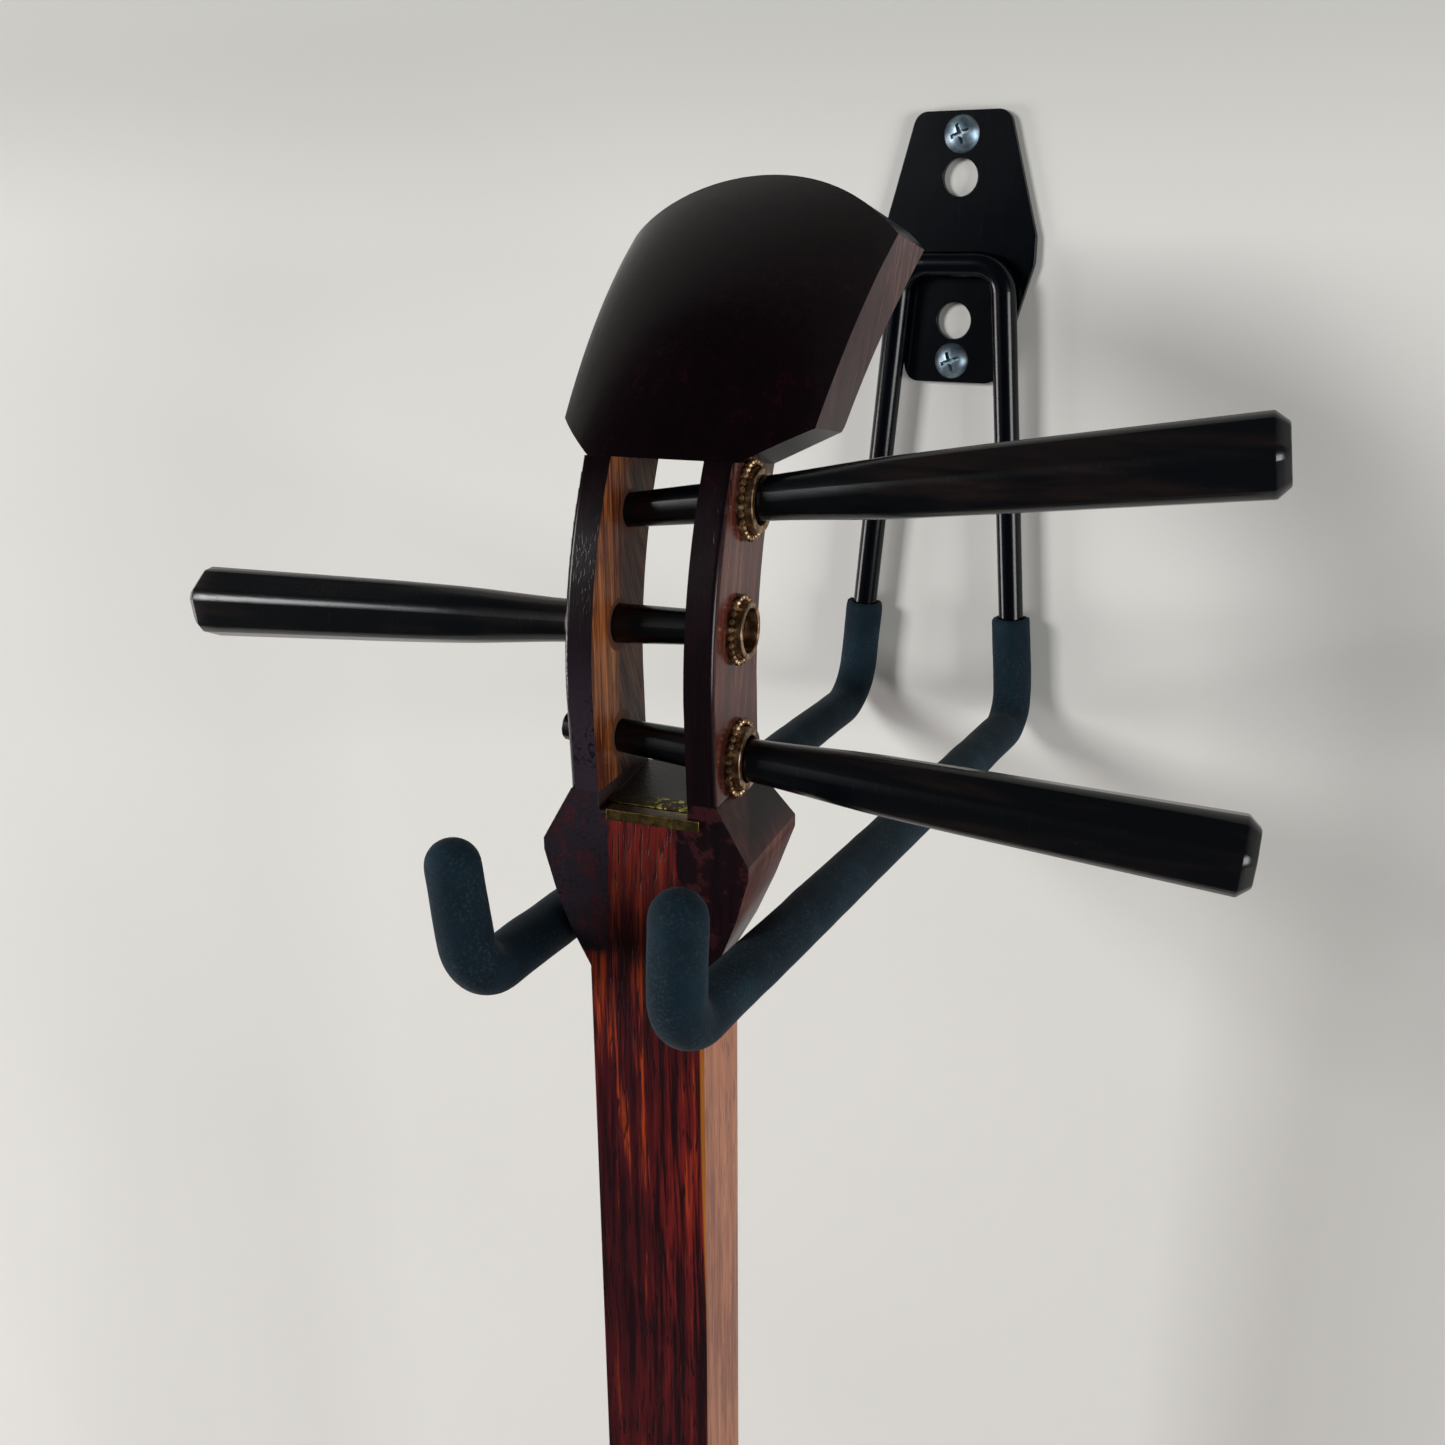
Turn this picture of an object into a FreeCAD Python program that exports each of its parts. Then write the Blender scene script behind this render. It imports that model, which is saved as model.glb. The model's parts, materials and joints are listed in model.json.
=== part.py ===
"""A long-necked three-string lute that hangs by its head from a padded wall hanger.

Row frame, in millimetres: the origin is the middle of the hanger plate's back face, +Z is up,
+Y goes into the wall, and the hanger's arms reach out along -Y.

The lute has a frame of its own.  Its origin is the middle of the nut on the front of the neck,
+Z runs up the neck to the head, +Y goes to its back, and lute_placement() hangs it on the wall.
"""
import FreeCAD, Part
import Sketcher
import math
import os

Vector = FreeCAD.Vector
Rotation = FreeCAD.Rotation
Placement = FreeCAD.Placement
X_AXIS, Y_AXIS, Z_AXIS = Vector(1, 0, 0), Vector(0, 1, 0), Vector(0, 0, 1)
# The head is lofted through level sections this many steps apart.
HEAD_STEPS = 5

# Every driving dimension, in millimetres and degrees.
SIZES = {
    # hanger plate: a long hexagon with two screws and two spare holes in one line
    "plate_thickness": 2.2,
    "plate_height": 72.0,
    "plate_end_width": 26.0,
    "plate_waist_width": 44.4,
    "plate_waist_height": 7.0,
    "plate_corner": 4.0,
    "plate_waist_corner": 5.0,
    "spare_hole": 10.0,
    "spare_spacing": 38.0,
    "screw_spacing": 60.0,
    "screw_hole": 5.2,
    # wall screws
    "screw_neck": 4.0,
    "screw_shank": 4.4,
    "screw_length": 32.0,
    "screw_point": 5.0,
    "screw_head": 9.9,
    "screw_head_height": 2.6,
    "screw_dome": 6.13,
    "screw_recess": 5.4,
    "screw_recess_width": 1.1,
    "screw_recess_depth": 1.5,
    "screw_turn": 20.0,
    # bent rod: an arch on the plate, two splayed legs, two arms and two upturned hooks
    "rod_diameter": 7.0,
    "arch_half": 14.5,
    "arch_drop": 3.7,
    "arch_bend": 8.0,
    "arm_drop": 133.3,
    "arm_rise": 1.1,
    "arm_half_wall": 25.5,
    "arm_half_front": 22.4,
    "arm_reach": 209.0,
    "arm_bend": 12.0,
    "hook_bend": 9.0,
    "hook_height": 24.3,
    "hook_lean_left": 6.0,
    "hook_lean_right": 2.3,
    "hook_back_lean": 1.2,
    # foam sleeves on the rod
    "foam_wall": 2.05,
    "foam_top": 102.0,
    "foam_play": 0.05,
    # how the lute hangs
    "neck_behind_hooks": 26.0,
    "nut_above_arms": 29.0,
    "hang_side": 1.0,
    "hang_yaw": 6.3,
    # neck
    "neck_width": 24.9,
    "neck_depth_top": 27.0,
    "neck_depth_foot": 29.0,
    "neck_round": 9.0,
    "neck_length": 620.0,
    "upper_joint": 205.0,
    "lower_joint": 415.0,
    "tenon_width": 9.0,
    "tenon_depth": 12.0,
    "tenon_length": 22.0,
    "tenon_inset": 7.0,
    "breast_length": 42.0,
    "breast_drop": 13.0,
    "breast_radius": 75.0,
    "spine_width": 20.0,
    "spine_front": 13.0,
    "spine_depth": 15.0,
    "tail_length": 18.0,
    # flare below the pegbox
    "flare_top": 5.2,
    "flare_width": 44.0,
    "flare_depth": 29.5,
    "flare_high": 6.3,
    "flare_low": 8.8,
    "flare_taper_high": 18.0,
    "flare_taper_high_width": 39.0,
    "flare_taper_low": 26.0,
    "flare_taper_low_width": 32.8,
    "flare_foot": 33.5,
    "flare_edge_round": 0.6,
    "taper_high_round": 5.4,
    "taper_low_round": 7.65,
    # pegbox
    "pegbox_width": 30.8,
    "pegbox_depth": 24.0,
    "pegbox_lip": 1.1,
    "pegbox_waist": 26.0,
    "pegbox_sweep": 86.8,
    "pegbox_back_sweep": 83.2,
    "pegbox_top": 69.3,
    "pegbox_back_top": 65.9,
    "cheek_round": 1.2,
    "slot_width": 18.8,
    "slot_floor": 1.4,
    "slot_floor_slope": 5.15,
    "end_slope": 8.5,
    # head: a thick swept board with a convex front and an arched top
    "head_half": 26.4,
    "head_flare": 0.1,
    "head_underside": 7.0,
    "head_shoulder": 10.8,
    "crown_height": 120.8,
    "crown_back": 75.6,
    "crown_radius": 40.8,
    "crown_reach": 33.5,
    "head_low_level": 62.0,
    "head_high_level": 124.0,
    "ridge_radius": 163.0,
    "ridge_centre_back": 138.9,
    "ridge_centre_drop": 29.4,
    "rim_radius": 183.0,
    "rim_centre_back": 157.4,
    "rim_centre_drop": 52.2,
    "back_radius": 197.0,
    "back_centre_back": 177.9,
    "back_centre_drop": 74.3,
    "back_straight_from": 98.0,
    "nape_height": 72.0,
    "nape_clearing": 20.0,
    # nut and slot plate
    "nut_left": 7.5,
    "nut_right": 12.1,
    "nut_height": 2.3,
    "nut_depth": 3.2,
    "nut_proud": 0.8,
    "slot_plate_depth": 4.2,
    "slot_plate_thickness": 0.6,
    "slot_plate_inset": 3.4,
    # where each peg crosses the cheek on its handle's side, its upward tilt, the roll that turns a
    # ridge of the handle to the front, how far its tip comes through the far cheek, and the reach of
    # its handle from the middle of the pegbox
    "top_peg_height": 61.2,
    "top_peg_depth": 18.5,
    "top_peg_tilt": 7.85,
    "top_peg_roll": 19.0,
    "top_peg_through": 2.0,
    "top_peg_reach": 111.0,
    "middle_peg_height": 36.3,
    "middle_peg_depth": 11.9,
    "middle_peg_tilt": -2.25,
    "middle_peg_roll": -6.0,
    "middle_peg_through": 0.5,
    "middle_peg_reach": 109.5,
    "bottom_peg_height": 11.7,
    "bottom_peg_depth": 11.5,
    "bottom_peg_tilt": -3.84,
    "bottom_peg_roll": 14.0,
    "bottom_peg_through": 6.0,
    "bottom_peg_reach": 112.5,
    # the shape that the pegs share
    "peg_tip_radius": 3.12,
    "peg_taper": 0.0302,
    "peg_swell_start": 19.0,
    "peg_facet_start": 26.0,
    "peg_facet_radius": 4.72,
    "peg_middle": 46.0,
    "peg_middle_flat": 5.75,
    "peg_middle_bevel": 5.95,
    "peg_end_flat": 7.2,
    "peg_end_bevel": 7.6,
    "peg_chamfer": 2.0,
    "peg_chamfer_length": 2.4,
    "peg_play": 0.06,
    # peg bushings: a tube through the cheek, a beaded ring and a raised collar
    "bushing_ring_height": 1.3,
    "bushing_collar_height": 2.8,
    "bushing_floor": 0.3,
    "grip_tube_radius": 5.3,
    "grip_ring_radius": 7.7,
    "grip_collar_radius": 6.6,
    "grip_mouth_radius": 4.7,
    "tip_tube_radius": 4.9,
    "tip_ring_radius": 6.6,
    "tip_collar_radius": 5.95,
    "tip_mouth_radius": 4.35,
    # sound box of four mitred boards and two skins
    "box_front": 7.0,
    "box_depth": 91.0,
    "box_half_width": 82.0,
    "box_half_height": 90.5,
    "box_side_bulge": 9.0,
    "box_end_bulge": 8.0,
    "board_wall": 16.0,
    "skin_thickness": 0.9,
    "skin_wrap": 12.0,
}


class Size:
    """A length or an angle that keeps its spreadsheet expression beside its number."""

    def __init__(self, value, text):
        self.value = value
        self.text = text

    @staticmethod
    def of(other):
        return other if isinstance(other, Size) else Size(float(other), f"{float(other)}")

    def __add__(self, other):
        other = Size.of(other)
        return Size(self.value + other.value, f"({self.text} + {other.text})")

    def __sub__(self, other):
        other = Size.of(other)
        return Size(self.value - other.value, f"({self.text} - {other.text})")

    def __mul__(self, other):
        other = Size.of(other)
        return Size(self.value * other.value, f"({self.text} * {other.text})")

    def __truediv__(self, other):
        other = Size.of(other)
        return Size(self.value / other.value, f"({self.text} / {other.text})")

    def __neg__(self):
        return Size(-self.value, f"(0 - {self.text})")

    __radd__ = __add__
    __rmul__ = __mul__

    def __rsub__(self, other):
        return Size.of(other) - self


def root(size):
    """Square root of a Size."""
    return Size(math.sqrt(size.value), f"sqrt({size.text})")


def tangent(size):
    """Tangent of a Size that is an angle in degrees."""
    return Size(math.tan(math.radians(size.value)), f"tan({size.text} * 1 deg)")


def make_sheet(doc):
    """Write every driving dimension into the spreadsheet and return them as Size objects."""
    sheet = doc.addObject("Spreadsheet::Sheet", "Sizes")
    for row, (alias, number) in enumerate(SIZES.items(), start=1):
        sheet.set(f"A{row}", alias)
        sheet.set(f"B{row}", str(number))
        sheet.setAlias(f"B{row}", alias)
    doc.recompute()
    return {alias: Size(float(number), f"Sizes.{alias}") for alias, number in SIZES.items()}


DOC = FreeCAD.newDocument("lute_on_wall_hanger")
S = make_sheet(DOC)


class Peg:
    """One tuning peg: its name, the side its handle is on (+1 is the lute's +X side) and its sizes."""

    def __init__(self, name, side):
        self.name = name
        self.side = side
        self.height = S[f"{name}_peg_height"]
        self.depth = S[f"{name}_peg_depth"]
        self.tilt = S[f"{name}_peg_tilt"]
        self.roll = S[f"{name}_peg_roll"]
        self.through = S[f"{name}_peg_through"]
        self.reach = S[f"{name}_peg_reach"]


TOP_PEG, MIDDLE_PEG, BOTTOM_PEG = Peg("top", 1), Peg("middle", -1), Peg("bottom", 1)
PEGS = (TOP_PEG, MIDDLE_PEG, BOTTOM_PEG)


# ---------------------------------------------------------------- drawing helpers

def new_body(name, placement=None):
    """A PartDesign body whose label is the name of its node."""
    body = DOC.addObject("PartDesign::Body", name)
    body.Label = name
    if placement is not None:
        body.Placement = placement
    return body


def new_sketch(body, name, plane, offset=None):
    """A sketch on one of the body's origin planes, with an optional offset placement."""
    sketch = body.newObject("Sketcher::SketchObject", f"{body.Name}_{name}")
    for feature in body.Origin.OriginFeatures:
        if feature.Role == plane:
            sketch.AttachmentSupport = [(feature, "")]
    sketch.MapMode = "FlatFace"
    if offset is not None:
        sketch.AttachmentOffset = offset
    return sketch


def constrain(sketch, kind, *arguments):
    """Add a constraint whose last argument is a Size, and bind it to the spreadsheet."""
    size = arguments[-1]
    index = sketch.addConstraint(Sketcher.Constraint(kind, *arguments[:-1], size.value))
    sketch.setExpression(f"Constraints[{index}]", size.text)


def draw_outline(sketch, start, steps):
    """Draw a closed outline.

    start is (x, y), and each step is (x, y) for a line or (x, y, radius, turn) for an arc, where
    turn is +1 if the arc runs anticlockwise.  The last step ends at start.
    """
    corners = [tuple(Size.of(value) for value in start)]
    ends = []
    for step in steps:
        begin = corners[-1]
        end = (Size.of(step[0]), Size.of(step[1]))
        first = Vector(begin[0].value, begin[1].value, 0)
        last = Vector(end[0].value, end[1].value, 0)
        if len(step) == 2:
            index = sketch.addGeometry(Part.LineSegment(first, last))
            ends.append((index, 1, 2))
        else:
            radius, turn = Size.of(step[2]), step[3]
            index = sketch.addGeometry(arc_between(first, last, radius.value, turn))
            constrain(sketch, "Radius", index, radius)
            ends.append((index, 1, 2) if turn > 0 else (index, 2, 1))
        corners.append(end)
    for place, (index, begin_point, end_point) in enumerate(ends):
        following = ends[(place + 1) % len(ends)]
        sketch.addConstraint(
            Sketcher.Constraint("Coincident", index, end_point, following[0], following[1]))
        across, up = corners[place]
        constrain(sketch, "DistanceX", -1, 1, index, begin_point, across)
        constrain(sketch, "DistanceY", -1, 1, index, begin_point, up)


def arc_between(first, last, radius, turn):
    """The shorter arc of a given radius from one point to another."""
    chord = last - first
    middle = (first + last) * 0.5
    rise = math.sqrt(max(radius ** 2 - (chord.Length / 2) ** 2, 0))
    side = Vector(-chord.y, chord.x, 0).normalize() * turn
    centre = middle + side * rise
    spokes = (first - centre, last - centre) if turn > 0 else (last - centre, first - centre)
    angles = [math.atan2(spoke.y, spoke.x) for spoke in spokes]
    return Part.ArcOfCircle(Part.Circle(centre, Z_AXIS, radius), angles[0], angles[1])


def draw_circle(sketch, across, up, radius):
    """Draw a circle at a bound centre with a bound radius."""
    across, up, radius = Size.of(across), Size.of(up), Size.of(radius)
    centre = Vector(across.value, up.value, 0)
    index = sketch.addGeometry(Part.Circle(centre, Z_AXIS, radius.value))
    constrain(sketch, "Radius", index, radius)
    constrain(sketch, "DistanceX", -1, 1, index, 3, across)
    constrain(sketch, "DistanceY", -1, 1, index, 3, up)


def extrude(body, kind, sketch, length, centred=False, backwards=False):
    """Pad or Pocket a sketch by a bound length."""
    feature = body.newObject(f"PartDesign::{kind}", f"{sketch.Name}_{kind}")
    feature.Profile = sketch
    feature.Reversed = backwards
    if centred:
        feature.SideType = "Symmetric"
    feature.setExpression("Length", Size.of(length).text)
    return feature


def revolve(body, sketch):
    """Turn a sketch about its own horizontal axis."""
    feature = body.newObject("PartDesign::Revolution", f"{sketch.Name}_Revolution")
    feature.Profile = sketch
    feature.ReferenceAxis = (sketch, ["H_Axis"])
    feature.Angle = 360
    return feature


def loft(body, name, sketches, ruled=True):
    """Join section sketches into one solid."""
    feature = body.newObject("PartDesign::AdditiveLoft", f"{body.Name}_{name}")
    feature.Profile = sketches[0]
    feature.Sections = sketches[1:]
    feature.Ruled = ruled
    return feature


def block(body, kind, name, corner, extent):
    """Add or take away a box: kind is Additive or Subtractive, extent is (x, y, z)."""
    feature = body.newObject(f"PartDesign::{kind}Box", f"{body.Name}_{name}")
    for side, size in zip(("Length", "Width", "Height"), extent):
        feature.setExpression(side, Size.of(size).text)
    feature.Placement = Placement(Vector(*(Size.of(value).value for value in corner)), Rotation())
    return feature


def round_edges(body, base, radius, wanted):
    """Fillet the edges of a feature that the test named wanted picks."""
    DOC.recompute()
    names = [f"Edge{number}" for number, edge in enumerate(base.Shape.Edges, start=1) if wanted(edge)]
    feature = body.newObject("PartDesign::Fillet", f"{base.Name}_Fillet")
    feature.Base = (base, names)
    feature.setExpression("Radius", radius.text)
    return feature


def new_feature(name, shape, placement=None):
    """A plain shape made with Part's own functions."""
    feature = DOC.addObject("Part::Feature", name)
    feature.Label = name
    feature.Shape = shape
    if placement is not None:
        feature.Placement = placement
    return feature


def lute_placement():
    """Where the lute hangs: its nut in the row frame, turned a little on the two arms."""
    stand_off, drop = S["arm_reach"] - S["neck_behind_hooks"], S["arm_drop"] - S["nut_above_arms"]
    nut = Vector(S["hang_side"].value, -stand_off.value, -drop.value)
    return Placement(nut, Rotation(Z_AXIS, S["hang_yaw"].value))


# ---------------------------------------------------------------- hanger

def make_wall_plate():
    """The long hexagonal plate, with its screw holes and its two spare holes."""
    body = new_body("wall_plate")
    sketch = new_sketch(body, "outline", "XZ_Plane")
    half_height = S["plate_height"] / 2
    end, waist = S["plate_end_width"] / 2, S["plate_waist_width"] / 2
    shoulder = S["plate_waist_height"] / 2
    right = [(end, -half_height), (waist, -shoulder), (waist, shoulder), (end, half_height)]
    left = [(-across, up) for across, up in reversed(right)]
    draw_outline(sketch, left[-1], right + left)
    plate = extrude(body, "Pad", sketch, S["plate_thickness"])

    def at_corner(edge):
        along_y = abs(edge.Vertexes[0].Y - edge.Vertexes[-1].Y) > S["plate_thickness"].value / 2
        return along_y and abs(edge.CenterOfMass.z) > half_height.value - 1

    def at_waist(edge):
        along_y = abs(edge.Vertexes[0].Y - edge.Vertexes[-1].Y) > S["plate_thickness"].value / 2
        return along_y and abs(edge.CenterOfMass.x) > waist.value - 1

    plate = round_edges(body, plate, S["plate_corner"], at_corner)
    round_edges(body, plate, S["plate_waist_corner"], at_waist)
    holes = new_sketch(body, "holes", "XZ_Plane")
    for spacing, width in (("spare_spacing", "spare_hole"), ("screw_spacing", "screw_hole")):
        for side in (1, -1):
            draw_circle(holes, 0, S[spacing] * (side / 2), S[width] / 2)
    extrude(body, "Pocket", holes, S["plate_thickness"] * 3, centred=True)


def make_wall_screw(name, side):
    """A pan-head wood screw with a cross recess, drawn along its own X axis, head outwards."""
    up = S["screw_spacing"].value * side / 2
    seat = Placement(Vector(0, -S["plate_thickness"].value, up), Rotation(Z_AXIS, -90))
    body = new_body(name, seat)
    sketch = new_sketch(body, "profile", "XZ_Plane")
    head, height = S["screw_head"] / 2, S["screw_head_height"]
    neck, shank = S["screw_neck"] / 2, S["screw_shank"] / 2
    length, grip = S["screw_length"], S["plate_thickness"]
    draw_outline(sketch, (-length, 0), [
        (height, 0),
        (0, head, S["screw_dome"], 1),
        (0, neck),
        (-grip, neck),
        (-grip, shank),
        (-(length - S["screw_point"]), shank),
        (-length, 0),
    ])
    revolve(body, sketch)
    for turn in (0, 90):
        slot = new_sketch(body, f"recess_{turn}", "YZ_Plane", Placement(
            Vector(0, 0, height.value), Rotation(Z_AXIS, S["screw_turn"].value + turn)))
        across, wide = S["screw_recess"] / 2, S["screw_recess_width"] / 2
        draw_outline(slot, (-across, -wide),
                     [(across, -wide), (across, wide), (-across, wide), (-across, -wide)])
        extrude(body, "Pocket", slot, S["screw_recess_depth"])


def rod_y():
    """Depth of the rod's centre line where it lies on the plate's front face."""
    return -(S["plate_thickness"].value + S["rod_diameter"].value / 2)


def leg_point(side, drop):
    """The point on a leg's centre line at a given distance below the plate's middle."""
    top, foot = S["arch_drop"].value, S["arm_drop"].value
    share = (drop - top) / (foot - top)
    half = S["arch_half"].value + share * (S["arm_half_wall"].value - S["arch_half"].value)
    return Vector(side * half, rod_y(), -drop)


def hook_points(side):
    """The hook's bend and the rod's end above it, which leans outwards a little."""
    bend = Vector(side * S["arm_half_front"].value, -S["arm_reach"].value,
                  S["arm_rise"].value - S["arm_drop"].value)
    lean = S["hook_lean_left"] if side < 0 else S["hook_lean_right"]
    rise = S["hook_height"].value
    out = rise * math.tan(math.radians(lean.value)) * side
    back = rise * math.tan(math.radians(S["hook_back_lean"].value))
    return bend, bend + Vector(out, -back, rise)


def bent_path(points, radii):
    """A wire of straight runs joined by tangent arcs; radii belong to the inner points."""
    edges = []
    begin = points[0]
    for before, corner, after, radius in zip(points, points[1:], points[2:], radii):
        inward, outward = (before - corner).normalize(), (after - corner).normalize()
        half_turn = (math.pi - inward.getAngle(outward)) / 2
        reach = radius * math.tan(half_turn)
        first, last = corner + inward * reach, corner + outward * reach
        bisector = (inward + outward).normalize()
        middle = corner + bisector * (radius / math.cos(half_turn) - radius)
        edges.append(Part.LineSegment(begin, first).toShape())
        edges.append(Part.Arc(first, middle, last).toShape())
        begin = last
    edges.append(Part.LineSegment(begin, points[-1]).toShape())
    return Part.Wire(edges)


def tube(path, radius):
    """A round bar along a bent path."""
    edge = path.Edges[0]
    start, heading = edge.valueAt(edge.FirstParameter), edge.tangentAt(edge.FirstParameter)
    ring = Part.Wire([Part.makeCircle(radius, start, heading)])
    bar = path.makePipeShell([ring], True, True)
    expected = math.pi * radius ** 2 * path.Length
    if abs(bar.Volume / expected - 1) > 0.01:
        raise ValueError("the bent bar's volume is not its section times its length")
    return bar


def rod_path(side_order=(-1, 1)):
    """The whole rod: hook, arm, leg, arch, leg, arm, hook."""
    points, radii = [], []
    for side in side_order:
        bend, end = hook_points(side)
        half = [end, bend, leg_point(side, S["arm_drop"].value), leg_point(side, S["arch_drop"].value)]
        bends = [S["hook_bend"].value, S["arm_bend"].value, S["arch_bend"].value]
        points += half if side == side_order[0] else half[::-1]
        radii += bends if side == side_order[0] else bends[::-1]
    return bent_path(points, radii)


def make_hanger_rod():
    """The black rod, bent in one piece."""
    new_feature("hanger_rod", tube(rod_path(), S["rod_diameter"].value / 2))


def make_foam_sleeve(name, side):
    """The foam tube that covers the foot of a leg, the arm and the hook, with a closed round end."""
    outer = S["rod_diameter"].value / 2 + S["foam_wall"].value
    inner = S["rod_diameter"].value / 2 + S["foam_play"].value
    bend, end = hook_points(side)
    points = [leg_point(side, S["foam_top"].value), leg_point(side, S["arm_drop"].value), bend, end]
    radii = [S["arm_bend"].value, S["hook_bend"].value]
    cap = Part.makeSphere(outer, end, end - bend, 0, 90, 360)
    sleeve = tube(bent_path(points, radii), outer).fuse(cap)
    above = points[0] + (points[0] - points[1]).normalize() * outer
    bore = tube(bent_path([above] + points[1:], radii), inner)
    new_feature(name, sleeve.cut(bore).removeSplitter())


# ---------------------------------------------------------------- neck

def neck_depth(drop):
    """Depth of the neck at a distance below the nut, which grows evenly towards the sound box."""
    growth = (S["neck_depth_foot"] - S["neck_depth_top"]) / (S["neck_length"] - S["flare_foot"])
    return S["neck_depth_top"] + growth * (Size.of(drop) - S["flare_foot"])


def neck_section(body, name, height, half, depth, corner):
    """A section across the neck: flat front and sides, and a back with two round corners."""
    height, half, depth, corner = (Size.of(value) for value in (height, half, depth, corner))
    sketch = new_sketch(body, name, "XY_Plane")
    sketch.setExpression(".AttachmentOffset.Base.z", height.text)
    draw_outline(sketch, (-half, 0), [
        (half, 0),
        (half, depth - corner),
        (half - corner, depth, corner, 1),
        (-(half - corner), depth),
        (-half, depth - corner, corner, 1),
        (-half, 0),
    ])
    return sketch


def plain_section(body, name, drop):
    """The neck's own section at a distance below the nut."""
    return neck_section(body, name, -drop, S["neck_width"] / 2, neck_depth(drop), S["neck_round"])


def tenon_box(body, kind, drop):
    """The tenon below a neck joint, or the mortise that takes it."""
    corner = (-S["tenon_width"] / 2, S["tenon_inset"], -(drop + S["tenon_length"]))
    block(body, kind, "tenon" if kind == "Additive" else "mortise", corner,
          (S["tenon_width"], S["tenon_depth"], S["tenon_length"]))


def make_upper_neck():
    """The flare under the pegbox and the first third of the neck, with the foot of the slot."""
    body = new_body("upper_neck", lute_placement())
    wide, edge = S["flare_width"] / 2, S["flare_edge_round"]
    box = S["pegbox_width"] / 2
    taper_depth = (S["flare_depth"] * 2 + S["neck_depth_top"]) / 3
    foot_depth = (S["flare_depth"] + S["neck_depth_top"] * 2) / 3
    sections = [
        neck_section(body, "pegbox_foot", S["flare_top"], box, S["pegbox_depth"], edge),
        neck_section(body, "flare_high", -S["flare_high"], wide, S["flare_depth"], edge),
        neck_section(body, "flare_low", -S["flare_low"], wide, S["flare_depth"], edge),
        neck_section(body, "taper_high", -S["flare_taper_high"], S["flare_taper_high_width"] / 2,
                     taper_depth, S["taper_high_round"]),
        neck_section(body, "taper_low", -S["flare_taper_low"], S["flare_taper_low_width"] / 2,
                     foot_depth, S["taper_low_round"]),
        plain_section(body, "flare_foot", S["flare_foot"]),
        plain_section(body, "joint", S["upper_joint"]),
    ]
    loft(body, "shaft", sections)
    slope = tangent(S["slot_floor_slope"])
    front, back, top = Size.of(-6), S["pegbox_depth"] + 6, S["flare_top"] + 4
    slot = new_sketch(body, "slot", "YZ_Plane")
    draw_outline(slot, (front, S["slot_floor"] + slope * front), [
        (back, S["slot_floor"] + slope * back),
        (back, top),
        (front, top),
        (front, S["slot_floor"] + slope * front),
    ])
    extrude(body, "Pocket", slot, S["slot_width"], centred=True)
    nut_box(body, "Subtractive", "nut_seat")
    ring_seat(body, BOTTOM_PEG)
    tenon_box(body, "Additive", S["upper_joint"])


def make_middle_neck():
    """The middle third of the neck, with a mortise above and a tenon below."""
    body = new_body("middle_neck", lute_placement())
    loft(body, "shaft", [plain_section(body, "top", S["upper_joint"]),
                         plain_section(body, "foot", S["lower_joint"])])
    tenon_box(body, "Subtractive", S["upper_joint"])
    tenon_box(body, "Additive", S["lower_joint"])


def spine_extent():
    """Corner and extent of the square spine that runs on from the neck through the sound box."""
    box_length = S["box_half_height"] * 2 + S["box_end_bulge"] * 2
    length = box_length + S["tail_length"]
    corner = (-S["spine_width"] / 2, S["spine_front"], -(S["neck_length"] + length))
    return corner, (S["spine_width"], S["spine_depth"], length)


def make_lower_neck():
    """The last third of the neck, its breast curve, and the spine that ends in the tail."""
    body = new_body("lower_neck", lute_placement())
    loft(body, "shaft", [plain_section(body, "top", S["lower_joint"]),
                         plain_section(body, "foot", S["neck_length"])])
    tenon_box(body, "Subtractive", S["lower_joint"])
    breast = new_sketch(body, "breast", "YZ_Plane")
    foot, outside = -S["neck_length"], Size.of(-5)
    draw_outline(breast, (outside, foot - 1), [
        (S["breast_drop"], foot - 1),
        (S["breast_drop"], foot),
        (0, foot + S["breast_length"], S["breast_radius"], 1),
        (outside, foot + S["breast_length"]),
        (outside, foot - 1),
    ])
    extrude(body, "Pocket", breast, S["neck_width"] * 2, centred=True)
    block(body, "Additive", "spine", *spine_extent())


# ---------------------------------------------------------------- pegbox and head

def swept_depth(size_prefix, height):
    """Depth of one of the head's three swept curves at a height above the nut."""
    radius = S[f"{size_prefix}_radius"]
    rise = Size.of(height) + S[f"{size_prefix}_centre_drop"]
    return S[f"{size_prefix}_centre_back"] - root(radius * radius - rise * rise)


def head_back_depth(height):
    """Depth of the head's back, which runs straight on above back_straight_from."""
    start = S["back_straight_from"]
    if height <= start.value:
        return swept_depth("back", height)
    rise = start + S["back_centre_drop"]
    run = S["back_centre_back"] - swept_depth("back", start)
    return swept_depth("back", start) + rise / run * (Size.of(height) - start)


def head_section(body, step, height):
    """A level section of the head: a convex front between two straight sides and a flat back."""
    half = S["head_half"] + S["head_flare"] * (Size.of(height) - S["pegbox_top"] - S["head_underside"])
    rim, back = swept_depth("rim", height), head_back_depth(height)
    bulge = rim - swept_depth("ridge", height)
    radius = (half * half + bulge * bulge) / (bulge * 2)
    sketch = new_sketch(body, f"level_{step}", "XY_Plane", Placement(Vector(0, 0, height), Rotation()))
    draw_outline(sketch, (-half, rim), [
        (half, rim, radius, 1),
        (half, back),
        (-half, back),
        (-half, rim),
    ])
    return sketch


def tilted_front_plane(point):
    """Offset of a front-view sketch whose depth falls by end_slope towards the back."""
    return Placement(Vector(0, point.z, -point.y), Rotation(X_AXIS, -S["end_slope"].value))


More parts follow.
